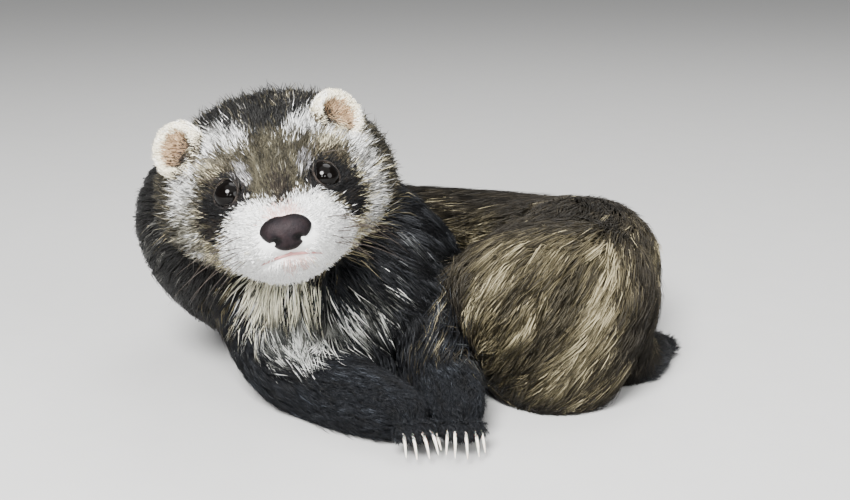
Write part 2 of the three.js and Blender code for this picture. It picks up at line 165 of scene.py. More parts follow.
# How a long and a short coat grow: hairs to a clump, the pull of its leader, the strays' share and lift
LONG_COAT = {"clump": 16, "pull": 0.42, "strays": 0.07, "stray_lift": 1.35}
SHORT_COAT = {"clump": 9, "pull": 0.25, "strays": 0.13, "stray_lift": 2.1}
LONG_HAIR = 7.5
LEG_HAIR = 8.5
HAIRS_IN_PIECE = 19500
SEEDS = {"coat_head": 11, "coat_body": 23, "coat_legs": 31}
PATCH = 0.003


def rgb(red, green, blue):
    """A colour given as on a screen, as the linear values that a surface takes"""
    value = np.array([red, green, blue]) / 255.0
    return np.where(value <= 0.04045, value / 12.92, ((value + 0.055) / 1.055) ** 2.4)


WHITE = rgb(250, 250, 248)
CREAM = rgb(228, 218, 186)
BUFF = rgb(132, 112, 74)
OLIVE = rgb(84, 78, 60)
GREY = rgb(70, 69, 66)
SABLE = rgb(33, 26, 20)
BLACK = rgb(9, 9, 10)
INK = rgb(17, 19, 23)
PINK = rgb(226, 190, 180)
LID = rgb(44, 37, 32)


def smooth(low, high, value):
    t = np.clip((value - low) / (high - low), 0, 1)
    return t * t * (3 - 2 * t)


def blend(first, second, share):
    return first + (second - first) * np.asarray(share)[..., None]


def unit(vectors):
    return vectors / np.maximum(np.linalg.norm(vectors, axis=-1, keepdims=True), 1e-9)


def spline(table, t):
    """Points on the smooth line through a table's rows, at shares t of its length"""
    table = np.asarray(table, float)
    last = len(table) - 1
    s = np.clip(np.asarray(t, float), 0, 1) * last
    i = np.minimum(s.astype(int), last - 1)
    w = (s - i)[..., None]
    rows = np.vstack([2 * table[0] - table[1], table, 2 * table[-1] - table[-2]])
    a, b, c, d = rows[i], rows[i + 1], rows[i + 2], rows[i + 3]
    return b + 0.5 * w * (c - a + w * (2 * a - 5 * b + 4 * c - d + w * (3 * (b - c) + d - a)))


class Form:
    """One rounded length of the body, laid along its stations"""

    def __init__(self, stations, up=UP, in_head=False):
        table = np.array(stations, float)
        self.places, self.sizes = table[:, :3], table[:, 3:]
        self.up, self.in_head = np.array(up, float), in_head
        self.cap = 0.7 / (len(table) - 1)

    def axes(self, t):
        forward = unit(spline(self.places, t + 1e-4) - spline(self.places, t - 1e-4))
        side = unit(np.cross(self.up, forward))
        return forward, side, np.cross(forward, side)

    def surface(self, t, across, above, grow):
        forward, side, top = self.axes(t)
        k = np.minimum(t, 1 - t) / self.cap
        end = np.where(k < 1, np.sqrt(np.clip(1 - (1 - k) ** 2, 0, 1)), 1)
        size = spline(self.sizes, t)
        tall = np.where(above > 0, size[..., 1], size[..., 2])
        place = spline(self.places, t) + forward * (grow * (2 * t - 1))[..., None]
        place += side * (across * end * (size[..., 0] + grow))[..., None]
        place += top * (above * end * (tall + grow))[..., None]
        return HEAD_MIDDLE + place @ HEAD_AXES if self.in_head else place

    def measure(self, points, steps=72):
        """For each point: share along the form, angle round it, height over its surface, forward"""
        if self.in_head:
            points = to_head(points)
        grid = np.linspace(0.0, 1.0, steps)
        centres = spline(self.places, grid)
        best = np.zeros(len(points), int)
        for start in range(0, len(points), 20000):
            part = points[start:start + 20000]
            gap = ((part[:, None, :] - centres[None]) ** 2).sum(-1)
            best[start:start + 20000] = gap.argmin(1)
        t = grid[best]
        forward, side, top = self.axes(np.clip(t, 0.001, 0.999))
        size = spline(self.sizes, t)
        off = points - centres[best]
        x, z, y = (off * side).sum(-1), (off * top).sum(-1), (off * forward).sum(-1)
        tall = np.where(z > 0, size[:, 1], size[:, 2])
        ring = np.sqrt((x / size[:, 0]) ** 2 + (z / tall) ** 2 + (y / size.mean(1)) ** 2)
        height = (ring - 1) * np.minimum(size[:, 0], tall)
        if self.in_head:
            forward = forward @ HEAD_AXES
        return t, np.arctan2(z / tall, x / size[:, 0]), height, forward


FORMS = {
    "head": Form(HEAD, in_head=True),
    "spine": Form(SPINE),
    "chest": Form(CHEST, up=(0, -1, 0.2)),
    "tail": Form(TAIL),
    "foreleg_left": Form(FORELEG_LEFT),
    "foreleg_right": Form(FORELEG_RIGHT),
    "hindleg_left": Form(HINDLEG_LEFT),
    "hindleg_right": Form(HINDLEG_RIGHT),
}
FEET = {"foreleg_left": 0.75, "foreleg_right": 0.75, "hindleg_left": 0.6, "hindleg_right": 0.6}
FLESH = [
    "head", "ear_left", "ear_right", "neck", "chest", "back", "loin", "hips",
    "foreleg_left_upper", "foreleg_left_foot", "foreleg_right_upper", "foreleg_right_foot",
    "hindleg_left_upper", "hindleg_left_foot", "hindleg_right_upper", "hindleg_right_foot",
    "tail_base", "tail_middle", "tail_tip",
]


def from_head(points):
    return HEAD_MIDDLE + np.asarray(points, float) @ HEAD_AXES


def to_frame(points):
    return (np.asarray(points, float) + SHIFT) * MM


def read_points(obj):
    places = np.empty(len(obj.data.vertices) * 3)
    obj.data.vertices.foreach_get("co", places)
    return places.reshape(-1, 3)


def write_points(obj, places):
    obj.data.vertices.foreach_set("co", np.asarray(places, np.float32).ravel())
    obj.data.update()


def only(obj):
    bpy.ops.object.select_all(action="DESELECT")
    obj.select_set(True)
    bpy.context.view_layer.objects.active = obj


def face_outwards(obj):
    only(obj)
    bpy.ops.object.mode_set(mode="EDIT")
    bpy.ops.mesh.select_all(action="SELECT")
    bpy.ops.mesh.normals_make_consistent(inside=False)
    bpy.ops.object.mode_set(mode="OBJECT")
    bpy.ops.object.shade_smooth()


def write_tint(mesh, colours):
    """Colours for the points of a mesh, in the attribute that the coat's materials read"""
    tint = mesh.color_attributes.new("Tint", "FLOAT_COLOR", "POINT")
    rgba = np.concatenate([colours, np.ones((len(colours), 1))], 1)
    tint.data.foreach_set("color", rgba.astype(np.float32).ravel())


def order_faces(mesh):
    """Sort faces by their points, because a sphere's come in another order in each run"""
    points, edges = np.empty((2, len(mesh.loops)), np.int32)
    mesh.loops.foreach_get("vertex_index", points)
    mesh.loops.foreach_get("edge_index", edges)
    faces = [list(face.loop_indices) for face in mesh.polygons]
    faces.sort(key=lambda loops: points[loops].tolist())
    order = np.concatenate(faces)
    starts = np.cumsum([0] + [len(loops) for loops in faces[:-1]])
    for layer in mesh.uv_layers:
        spots = np.empty(len(order) * 2, np.float32)
        layer.data.foreach_get("uv", spots)
        layer.data.foreach_set("uv", spots.reshape(-1, 2)[order].ravel())
    mesh.polygons.foreach_set("loop_start", starts.astype(np.int32))
    mesh.loops.foreach_set("vertex_index", points[order])
    mesh.loops.foreach_set("edge_index", edges[order])
    mesh.update()


def sphere(name, around, along, shape):
    """A sphere whose points a function moves to their places, in millimetres of the body"""
    bpy.ops.object.select_all(action="DESELECT")
    bpy.ops.mesh.primitive_uv_sphere_add(segments=around, ring_count=along, radius=1)
    obj = bpy.context.object
    obj.name = name
    order_faces(obj.data)
    write_points(obj, to_frame(shape(read_points(obj))))
    face_outwards(obj)
    return obj


def join(objects, name):
    bpy.ops.object.select_all(action="DESELECT")
    for obj in objects:
        obj.select_set(True)
    bpy.context.view_layer.objects.active = objects[0]
    if len(objects) > 1:
        bpy.ops.object.join()
    obj = bpy.context.object
    obj.name = name
    obj.data.name = name
    return obj


def finish_with(obj, kind, **settings):
    only(obj)
    modifier = obj.modifiers.new(kind.title(), kind)
    for key, value in settings.items():
        setattr(modifier, key, value)
    bpy.ops.object.modifier_apply(modifier=modifier.name)


# Materials
def new_material(name):
    material = bpy.data.materials.new(name)
    material.use_nodes = True
    return material, material.node_tree, material.node_tree.nodes["Principled BSDF"]


def node(tree, kind, **settings):
    made = tree.nodes.new(kind)
    for key, value in settings.items():
        if key in made.inputs:
            made.inputs[key].default_value = value
        else:
            setattr(made, key, value)
    return made


def noise_over(tree, scale, detail=4.0):
    """Noise over the piece's own coordinates"""
    places = node(tree, "ShaderNodeTexCoord")
    noise = node(tree, "ShaderNodeTexNoise", Scale=scale, Detail=detail)
    tree.links.new(places.outputs["Object"], noise.inputs["Vector"])
    return noise.outputs["Fac"]


def bump_by(tree, shader, source, strength, distance):
    bump = node(tree, "ShaderNodeBump", Strength=strength, Distance=distance)
    tree.links.new(source, bump.inputs["Height"])
    tree.links.new(bump.outputs["Normal"], shader.inputs["Normal"])


def between(tree, source, low, high, ends=(0.0, 1.0)):
    """A colour between two others, by the values of a noise"""
    ramp = node(tree, "ShaderNodeValToRGB")
    for element, colour, end in zip(ramp.color_ramp.elements, (low, high), ends):
        element.position = end
        element.color = tuple(colour) + (1,)
    tree.links.new(source, ramp.inputs["Fac"])
    return ramp.outputs["Color"]


def times(tree, first, second, share):
    """One colour multiplied by another, as far as the share says"""
    mix = node(tree, "ShaderNodeMix", data_type="RGBA", blend_type="MULTIPLY")
    mix.inputs["Factor"].default_value = share
    tree.links.new(first, mix.inputs["A"])
    tree.links.new(second, mix.inputs["B"])
    return mix.outputs["Result"]


def mottled(name, scale, low, high, roughness, detail=4.0, bump=0.0, distance=0.0001):
    """A material that varies a little between two colours"""
    material, tree, shader = new_material(name)
    noise = noise_over(tree, scale, detail)
    tree.links.new(between(tree, noise, low, high), shader.inputs["Base Color"])
    shader.inputs["Roughness"].default_value = roughness
    if bump:
        bump_by(tree, shader, noise, bump, distance)
    return material, shader


def tinted(name, roughness, bump=0.0):
    """Hair or skin whose markings are an attribute of its mesh"""
    material, tree, shader = new_material(name)
    tint = node(tree, "ShaderNodeAttribute", attribute_name="Tint")
    noise = noise_over(tree, 900.0, 3.0)
    shade = between(tree, noise, (0.62, 0.62, 0.62), (1.25, 1.25, 1.25))
    colour = times(tree, tint.outputs["Color"], shade, 0.35)
    tree.links.new(colour, shader.inputs["Base Color"])
    shader.inputs["Roughness"].default_value = roughness
    shader.inputs["Specular IOR Level"].default_value = 0.2
    if bump:
        bump_by(tree, shader, noise, bump, 0.0003)
    return material


def nose_leather():
    """Dark pebbled skin, tinted by a darker outline, painted shade in its nostrils and painted highlights on
    their rims
    """
    material, tree, shader = new_material("nose_skin")
    tint = node(tree, "ShaderNodeAttribute", attribute_name="Tint")
    places = node(tree, "ShaderNodeTexCoord")
    cells = node(tree, "ShaderNodeTexVoronoi", Scale=2600.0)
    tree.links.new(places.outputs["Object"], cells.inputs["Vector"])
    shade = between(tree, noise_over(tree, 420.0), (0.55, 0.6, 0.7), (1.3, 1.25, 1.25), (0.36, 0.66))
    tree.links.new(times(tree, tint.outputs["Color"], shade, 1.0), shader.inputs["Base Color"])
    bump_by(tree, shader, cells.outputs["Distance"], 0.5, 0.0002)
    shader.inputs["Roughness"].default_value = 0.6
    shader.inputs["Specular IOR Level"].default_value = 0.1
    return material


# Markings: the colour near the root and at the tip of the hair, for places on the body
class Paint:
    """Colours laid over one another hair by hair, or as an even average for the skin"""

    def __init__(self, count, tone, rng=None):
        self.rng, self.tone, self.count = rng, tone, count
        self.root = np.tile(BUFF, (count, 1))
        self.tip = self.root.copy()

    def lay(self, weight, root, tip, dark=BLACK, share=0.0, pale=WHITE, pale_share=0.0):
        weight = np.clip(weight + np.zeros(self.count), 0, 1)
        if self.rng is None:
            self.root = blend(self.root, root, weight)
            mixed = blend(np.atleast_2d(tip), dark, 0.5 * np.atleast_1d(share))
            self.tip = blend(self.tip, mixed, weight)
            return
        hit = self.rng.random(self.count) < smooth(0, 1, weight)
        pick = np.clip(0.72 * self.tone + 0.28 * self.rng.random(self.count), 0, 1)[:, None]
        share, pale_share = np.reshape(share, (-1, 1)), np.reshape(pale_share, (-1, 1))
        colour = np.where(pick < share, dark, np.where(pick > 1 - pale_share, pale, tip))
        self.root[hit] = np.broadcast_to(root, colour.shape)[hit]
        self.tip[hit] = colour[hit]


def oval(a, b, middle, radii, turn=0.0):
    """Below 0 inside an oval, 0 on it"""
    c, s = math.cos(turn), math.sin(turn)
    a, b = a - middle[0], b - middle[1]
    return np.hypot((a * c + b * s) / radii[0], (b * c - a * s) / radii[1]) - 1


def head_marks(places, paint, weight):
    """The mask, bands, brow, crown and muzzle"""
    f, l, u = to_head(places).T
    side = np.abs(l)
    right = smooth(-2, 2, l)
    beyond, over = side - EYE_PLACE[1], u - EYE_PLACE[2]
    angle = np.degrees(np.arctan2(over, beyond))
    reach = np.hypot(beyond, over)
    # Sides and back of the head
    edge = np.clip(smooth(25, 31, side) + smooth(-20, -34, f), 0, 1)
    paint.lay(weight, OLIVE, rgb(112, 107, 94), BLACK, 0.40 + 0.34 * edge, CREAM, 0.20 - 0.14 * edge)
    # Forehead and crown
    brow = smooth(13, 8, side) * smooth(19, 13, u)
    paint.lay(brow * weight, OLIVE, rgb(68, 65, 53), BLACK, 0.49, rgb(164, 160, 146), 0.17)
    notch = smooth(0.2, -0.5, oval(l, u, (0.6, -2.6), (3.4, 5.5)))
    paint.lay(notch * 0.9 * weight, SABLE, rgb(52, 46, 38), BLACK, 0.5, rgb(140, 132, 110), 0.1)
    crown = smooth(10.5, 15.5, u) * smooth(25, 15, side)
    paint.lay(crown * weight, GREY * 0.5, rgb(34, 33, 33), BLACK, 0.62, rgb(160, 158, 152), 0.11)
    # Cream of the lower cheeks
    low = smooth(-10, -16, u) * smooth(13, 16, side) * smooth(29, 23, side) * smooth(-14, -4, f)
    low = np.maximum(low, smooth(-17, -21, u) * smooth(-16, -8, f) * smooth(26, 20, side))
    low = np.maximum(low, smooth(2, -4, u) * smooth(17, 20, side) * smooth(31, 26, side) * right)
    paint.lay(low * weight, rgb(170, 160, 126), rgb(214, 206, 172), rgb(66, 61, 50), 0.36, WHITE, 0.18)
    # Pale bands over and beside the eyes
    far = np.interp(angle, [-70, -50, -25, 0, 15, 45, 90, 120],
                    [18.5, 17.5, 14.4, 12.2, 11.8, 14.6, 15.2, 14.6])
    wide = np.interp(angle, [-70, -50, 0, 45, 90, 120], [2.2, 2.8, 3.0, 4.0, 3.5, 2.2])
    band = np.exp(-(((reach - far) / wide) ** 4)) * smooth(-75, -45, angle) * smooth(135, 100, angle)
    band = band * smooth(-38, -24, f)
    bright = np.maximum(smooth(-30, 45, angle), 0.7 * right)
    pale = blend(rgb(140, 137, 123)[None], WHITE, bright)
    paint.lay(band * weight, pale * 0.7, pale, rgb(52, 48, 41), 0.52 - 0.18 * bright, WHITE, 0.24)
    # Dark masks round the eyes
    core = smooth(0.12, -0.2, oval(side, u, (18.2 + 0.9 * right, -6.4), (3.7, 8.0), 0.10))
    arc = smooth(9.2, 7.2, reach) * smooth(-30, 10, angle) * smooth(120, 95, angle)
    paint.lay(arc * (0.62 + 0.25 * right) * weight, OLIVE, rgb(62, 52, 38), BLACK, 0.5, CREAM, 0.08)
    paint.lay(core * smooth(-9, -3, f) * weight, BLACK, rgb(36, 29, 22), BLACK, 0.66, OLIVE, 0.07)
    ring = smooth(6.3, 5.0, reach) * smooth(-9, -3, f)
    paint.lay(ring * weight, BLACK, rgb(38, 31, 25), BLACK, 0.6, OLIVE, 0.12)
    fleck = smooth(0.15, -0.3, oval(side, u, (8.4, 3.4), (2.0, 3.6), -0.3))
    paint.lay(fleck * 0.75 * weight, GREY, rgb(170, 168, 172), rgb(80, 76, 70), 0.3, WHITE, 0.3)
    # White muzzle and chin
    top = -4.2 - 0.9 * np.maximum(side - 11.0, 0) ** 1.3 - 2.4 * np.exp(-((l / 2.4) ** 2))
    muzzle = smooth(top + 0.7, top - 0.9, u) * smooth(-9, -3, f)
    muzzle = muzzle * smooth(20.5, 17.5, side + 0.35 * np.maximum(-14 - u, 0))
    paint.lay(muzzle * weight, WHITE, WHITE, CREAM, 0.06, WHITE, 0.5)
    warm = smooth(0.2, -0.3, oval(l, u, (0, -8.2), (5.0, 1.8)))
    paint.lay(warm * 0.75 * weight, PINK, PINK, PINK, 0.2, WHITE, 0.3)
    lip = smooth(0.3, -0.4, oval(l, u, (1.0, -20.6), (3.6, 2.4)))
    paint.lay(lip * 0.7 * weight, PINK, PINK, PINK, 0.2, WHITE, 0.3)


def body_marks(places, share, paint):
    """Buff and sable of the back and haunch with painted shade at their edges, black chest and legs, throat
    and bib
    """
    x, y, z = places.T
    spine, angle = share["spine_t"], share["spine_angle"]
    on_spine, haunch = share["spine"], share["hindleg_right"]
    # Buff undercoat under dark guard hair, darkest along the ridge, as a dorsal line and painted shadow, and
    # at the edges, as painted shade
    # Darker along the top of the back: partly a dorsal line, partly painted shadow
    dorsal_line_and_shadow = smooth(0.25, 0.9, np.sin(angle)) * on_spine
    # Painted shade: by the crease at the forelegs, on the haunch's outer side and far top, and next to the
    # floor
    edge = np.maximum(smooth(68, 56, x), smooth(98, 108, x)) * haunch
    edge = np.maximum(edge, smooth(15, 5, z))
    edge = np.maximum(edge, smooth(28, 44, y) * haunch * 0.8)
    dark = np.clip(0.40 + 0.16 * on_spine + 0.14 * dorsal_line_and_shadow + 0.34 * edge, 0, 0.94)
    base = blend(rgb(82, 75, 55)[None], rgb(33, 28, 21), np.clip(0.9 * dorsal_line_and_shadow + 0.8 * edge, 0, 1))
    bright = 0.31 * (1 - edge) * (1 - 0.9 * dorsal_line_and_shadow) * (1 - 0.4 * on_spine)
    paint.lay(1.0, base * 0.9, base, rgb(17, 14, 10), dark, rgb(160, 150, 120), bright)
    # Painted shade: sable low on the body, next to the floor
    under = smooth(13, 3, z)
    paint.lay(under * 0.8, SABLE, rgb(34, 30, 25), BLACK, 0.6)
    bluish = smooth(66, 52, x) * smooth(34, 16, z) * haunch
    paint.lay(bluish * 0.7, SABLE, rgb(56, 60, 60), BLACK, 0.5, rgb(120, 122, 118), 0.10)
    # Charcoal neck and shoulders
    front = smooth(0.33, 0.22, spine) * on_spine
    near = smooth(8, 24, x)
    charcoal = blend(rgb(21, 21, 22)[None], rgb(38, 38, 38), near)
    paint.lay(front, GREY * 0.3, charcoal, BLACK, 0.48 - 0.1 * near, rgb(104, 103, 98), 0.08 + 0.07 * near)
    patch = smooth(1.0, 0.4, np.hypot((x - 34.5) / 6.5, (z - 62) / 15)) * smooth(42, 34, y)
    paint.lay(patch * 0.6 * front, rgb(60, 55, 45), rgb(86, 80, 66), SABLE, 0.5, rgb(150, 144, 126), 0.10)
    # Black chest and legs
    fore = share["chest"] + share["foreleg_left"] + share["foreleg_right"]
    limb = fore + share["hindleg_left"] + share["foot"]
    paint.lay(limb, INK * 0.6, INK, BLACK, 0.4, rgb(62, 66, 72), 0.10)
    breast = share["chest"] * smooth(12, 24, x)
    paint.lay(breast * 0.9, INK, rgb(36, 37, 39), BLACK, 0.36, rgb(104, 106, 106), 0.15)
    paint.lay(share["tail"], SABLE, SABLE, BLACK, 0.6, OLIVE, 0.1)
    knee = smooth(60, 52, x) * smooth(44, 36, z) * haunch
    paint.lay(knee * 0.9, INK * 0.6, INK, BLACK, 0.5, rgb(70, 70, 68), 0.08)
    # Cream throat, and a pale streaked band across the chest
    ahead = smooth(38, 30, y)
    throat = smooth(38, 41, z) * smooth(50, 46, z) * smooth(-12, -8, x) * smooth(10, 6, x)
    below = smooth(26, 30, z) * smooth(46, 42, z) * smooth(-13, -9, x) * smooth(0, -4, x)
    throat = np.maximum(throat, below)
    paint.lay(throat * ahead, rgb(250, 246, 222), rgb(248, 243, 216), rgb(120, 112, 90), 0.14, WHITE, 0.3)
    middle = 28.0 + 0.42 * np.maximum(x - 4, 0)
    half = np.interp(x, [-12, 4, 26], [8.0, 8.0, 5.0])
    bib = smooth(half + 1.6, half - 1.6, np.abs(z - middle)) * smooth(-12, -8, x) * smooth(30, 24, x)
    paint.lay(bib * 0.85 * ahead, rgb(120, 120, 112), rgb(214, 216, 210), rgb(34, 37, 40), 0.42, WHITE, 0.30)
    return paint


# The coat's plan: its lie, length and closeness over the skin, from where its hairs part
HEAD_CROWN = np.array([30.0, 0.0, -13.0])
HAUNCH_CROWN = np.array([122.0, 64.0, 80.0])
HAUNCH_AXIS = np.array([-0.61, -0.40, -0.68])


def noise(a, b, seed):
    """Smooth values from 0 to 1 over a plane"""
    i, j = np.floor(a), np.floor(b)
    u, v = smooth(0, 1, a - i), smooth(0, 1, b - j)

    def corner(p, q):
        value = np.sin(p * 127.1 + q * 311.7 + seed * 74.7) * 43758.5453
        return value - np.floor(value)
    low = corner(i, j) * (1 - u) + corner(i + 1, j) * u
    return low * (1 - v) + (corner(i, j + 1) * (1 - u) + corner(i + 1, j + 1) * u) * v


def streaks(across, along, seed, bold):
    """Uneven tones drawn out along the lie of the hair; bold ones gather in broad bands"""
    value = 0.40 * noise(across / 4.5, along / 22, seed) + 0.35 * noise(across / 2.0, along / 14, seed + 1)
    value = value + (0.1 + 0.3 * bold) * noise(across / 12, along / 34, seed + 2)
    return np.clip(0.5 + (value / (0.85 + 0.3 * bold) - 0.5) * (1.6 + 0.9 * bold), 0, 1)


def mouth_height(l):
    """How high the mouth's line runs, at a place across the head"""
    return -18.8 - 4.4 * (l / 13.0) ** 2


def head_way(spot):
    """The lie of the head's coat: back from the nose, and outwards close round the eyes"""
    side = np.abs(spot[:, 1])
    beyond, over = side - EYE_PLACE[1], spot[:, 2] - EYE_PLACE[2]
    reach = np.hypot(beyond, over)
    lie = unit(spot - HEAD_CROWN) + np.array([0, 0, -0.06])
    out = unit(np.stack([0 * side, np.sign(spot[:, 1]) * beyond, over], 1))
    inward = np.maximum(-(lie * out).sum(1), 0)
    turn = 1.25 * np.exp(-np.maximum(reach - 5.0, 0) / 3.0) * smooth(-10, -2, spot[:, 0])
    return unit(lie + out * (turn * inward)[:, None])


def head_length(spot):
    """The head's hairs in millimetres, shortest on the muzzle, by the mouth and round the eyes"""
    f, l, u = spot.T
    side = np.abs(l)
    reach = np.hypot(side - EYE_PLACE[1], u - EYE_PLACE[2])
    length = 2.6 + 1.6 * smooth(22, 8, f) + 3.0 * smooth(6, -14, f) + 3.2 * smooth(-12, -34, f)
    length += 2.2 * smooth(20, 30, side) * smooth(6, -6, u)
    length -= 1.4 * np.exp(-((reach / 7.0) ** 2)) * smooth(-6, 0, f)
    over_mouth = u - mouth_height(l)
    by_mouth = (side < 13) * (f > 8) * (over_mouth > 0)
    length = np.where(by_mouth, np.minimum(length, 1.0 + 0.8 * over_mouth), length)
    return np.maximum(length, 1.3)


def form_way(name, places, t, angle, forward):
    """The lie of one form's coat, and measures along and across it for the streaks"""
    way, along, across = forward, t * 26 * len(FORMS[name].places), angle * 22
    if name == "head":
        spot = to_head(places)
        radial = spot - HEAD_CROWN
        way = head_way(spot) @ HEAD_AXES
        along = np.linalg.norm(radial, axis=1) * 2.2
        across = np.arctan2(radial[:, 2], radial[:, 1]) * 52
    elif name == "hindleg_right":
        fan = unit(places - HAUNCH_CROWN)
        way = blend(fan, forward, smooth(0.56, 0.72, t))
        first = unit(np.cross(HAUNCH_AXIS, UP))
        second = np.cross(HAUNCH_AXIS, first)
        across = np.arctan2(fan @ second, fan @ first) * 26
        along = np.linalg.norm(places - HAUNCH_CROWN, axis=1)
    elif name == "spine":
        flank = np.abs(np.cos(angle)) * smooth(0.2, 0.35, t)
        way = forward + np.outer(0.35 * flank, -UP)
    elif name == "chest":
        way = forward + np.outer(np.sign(places[:, 0] - 14) * 0.18, [1, 0, 0])
    elif name == "foreleg_left":
        way = forward + np.outer(1.5 * smooth(0.62, 0.30, t), -UP)
    return way, along, across


def coat_plan(places, normals):
    """Values for points of the skin: lie, length, width, lift, closeness, share of each form"""
    found = {name: form.measure(places) for name, form in FORMS.items()}
    heights = np.stack([height for _, _, height, _ in found.values()])
    best = heights.argmin(0)
    weights = np.exp(-(heights - heights.min(0)) / 2.2)
    weights /= weights.sum(0)
    shares = dict(zip(FORMS, weights))
    lie, tone = np.zeros_like(places), np.zeros(len(places))
    for i, (name, (t, angle, _, forward)) in enumerate(found.items()):
        way, along, across = form_way(name, places, t, angle, forward)
        lie += way * weights[i][:, None]
        tone = np.where(best == i, streaks(across, along, 5.0, name == "hindleg_right"), tone)
    lie -= normals * (lie * normals).sum(-1, keepdims=True)
    along = {name: found[name][0] for name in FORMS}
    lengths = {
        "head": head_length(to_head(places)),
        "spine": 15.5 + 2.5 * smooth(0.2, 0.4, along["spine"]),
        "chest": 15.0,
        "tail": 16.0,
        "foreleg_left": 11 - 7.5 * smooth(0.3, 0.85, along["foreleg_left"]),
        "foreleg_right": 11 - 7.5 * smooth(0.3, 0.85, along["foreleg_right"]),
        "hindleg_left": 12 - 8 * smooth(0.3, 0.85, along["hindleg_left"]),
        "hindleg_right": 18 - 14 * smooth(0.52, 0.8, along["hindleg_right"]),
    }
    length = np.zeros(len(places))
    for name, share in shares.items():
        length += lengths[name] * share
    shares["foot"] = sum(shares[name] * smooth(0.6, 0.75, along[name]) for name in FEET)
    shares["spine_t"], shares["spine_angle"] = found["spine"][:2]
    shares["tone"] = tone
    width = np.clip(0.15 + 0.012 * length, 0.17, 0.36)
    close = np.clip(7.4 / (length * width), 1.35, 5.6)
    close *= 1 - 0.85 * smooth(3.0, 1.0, places[:, 2]) * smooth(-0.5, -0.9, normals[:, 2])
    plan = {"lie": unit(lie), "length": length, "width": width, "close": close,
            "lift": np.clip(0.22 * length, 0.5, 3.6)}
    return plan, shares


def layout_places(places, shares):
    """Each hair's place on a flat layout of the forms, one above another by their hairs"""
    names = list(FORMS)
    best = np.stack([shares[n] for n in names]).argmax(0)
    flat = np.zeros((len(places), 2))
    bottom = 0.005
    for i, name in enumerate(names):
        pick = best == i
        if pick.any():
            t, angle = FORMS[name].measure(places[pick])[:2]
            high = 0.99 * pick.mean()
            flat[pick, 0] = 0.005 + 0.99 * t
            flat[pick, 1] = bottom + high * (angle + math.pi) / (2 * math.pi)
            bottom += high
    return flat


def hair_mesh(name, rings, tips, root_colour, tip_colour, flat, material):
    """One mesh of closed tapered hairs: rings is (levels, hairs, 3 corners, 3)"""
    levels, count = rings.shape[:2]
    per = levels * 3 + 1
    points = np.concatenate([rings.transpose(1, 0, 2, 3).reshape(count, -1, 3), tips[:, None]], 1)
    faces = [(2, 1, 0)]
    for k in range(levels - 1):
        for c in range(3):
            a, b = k * 3 + c, k * 3 + (c + 1) % 3
            faces += [(a, b, b + 3), (a, b + 3, a + 3)]
    top = (levels - 1) * 3
    faces += [(top + c, top + (c + 1) % 3, per - 1) for c in range(3)]
    faces = np.array(faces)
    index = (faces[None] + (np.arange(count) * per)[:, None, None]).reshape(-1)
    mesh = bpy.data.meshes.new(name)
    mesh.vertices.add(count * per)
    mesh.vertices.foreach_set("co", to_frame(points.reshape(-1, 3)).astype(np.float32).ravel())
    mesh.loops.add(len(index))
    mesh.loops.foreach_set("vertex_index", index.astype(np.int32))
    mesh.polygons.add(len(index) // 3)
    mesh.polygons.foreach_set("loop_start", np.arange(0, len(index), 3, dtype=np.int32))
    mesh.polygons.foreach_set("use_smooth", np.ones(len(index) // 3, bool))
    share = np.concatenate([np.repeat(np.arange(levels) / levels, 3), [1.0]])
    part = share[None, :, None]
    colour = root_colour[:, None] * (1 - part) + tip_colour[:, None] * part
    write_tint(mesh, colour.reshape(-1, 3))
    corner = np.concatenate([np.tile([-1.0, 1.0, 0.0], levels), [0.0]])
    patch = np.stack([corner * PATCH / 2, (share - 0.5) * PATCH], 1)
    places = (flat[:, None] + patch[None]).reshape(-1, 2)
    layer = mesh.uv_layers.new(name="OFBake")
    layer.data.foreach_set("uv", places[index].astype(np.float32).ravel())
    mesh.update(calc_edges=True)
    obj = bpy.data.objects.new(name, mesh)
    bpy.context.scene.collection.objects.link(obj)
    obj.data.materials.append(material)
    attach(obj, "root")
    return obj


def section(lie, normal, width, thick):
    """The three corners of a hair's section: two low at the sides and one on top"""
    side = unit(np.cross(normal, lie))
    half = side * (width / 2)[:, None]
    return np.stack([-half, half, normal * thick[:, None]], 1)


class Skin:
    """The finished skin's surface, read once for the coat"""

    def __init__(self, obj):
        mesh = obj.data
        mesh.calc_loop_triangles()
        self.points = read_points(obj) / MM - SHIFT
        corners = np.empty(len(mesh.loop_triangles) * 3, np.int32)
        mesh.loop_triangles.foreach_get("vertices", corners)
        self.faces = corners.reshape(-1, 3)
        normals = np.empty(len(mesh.vertices) * 3)
        mesh.vertices.foreach_get("normal", normals)
        self.normals = normals.reshape(-1, 3)
        self.tree = BVHTree.FromPolygons(self.points.tolist(), self.faces.tolist())

    def scatter(self, close, rng):
        a, b, c = (self.points[self.faces[:, i]] for i in range(3))
        area = np.linalg.norm(np.cross(b - a, c - a), axis=1) / 2
        wanted = area * close[self.faces].mean(1)
        total = int(wanted.sum())
        order = np.cumsum(wanted)
        pick = np.searchsorted(order, (np.arange(total) + rng.random(total)) / total * order[-1])
        pick = np.minimum(pick, len(self.faces) - 1)
        r1, r2 = np.sqrt(rng.random(total)), rng.random(total)
        weight = np.stack([1 - r1, r1 * (1 - r2), r1 * r2], 1)
        return pick, weight

    def at(self, values, pick, weight):
        corners = values[self.faces[pick]]
        if corners.ndim == 2:
            return (corners * weight).sum(1)
        return (corners * weight[:, :, None]).sum(1)

    def settle(self, places):
        """The nearest places on the skin, and its normals there"""
        near, normal = np.empty_like(places), np.empty_like(places)
        find = self.tree.find_nearest
        for i, place in enumerate(places.tolist()):
            near[i], normal[i] = find(place)[:2]
        return near, normal


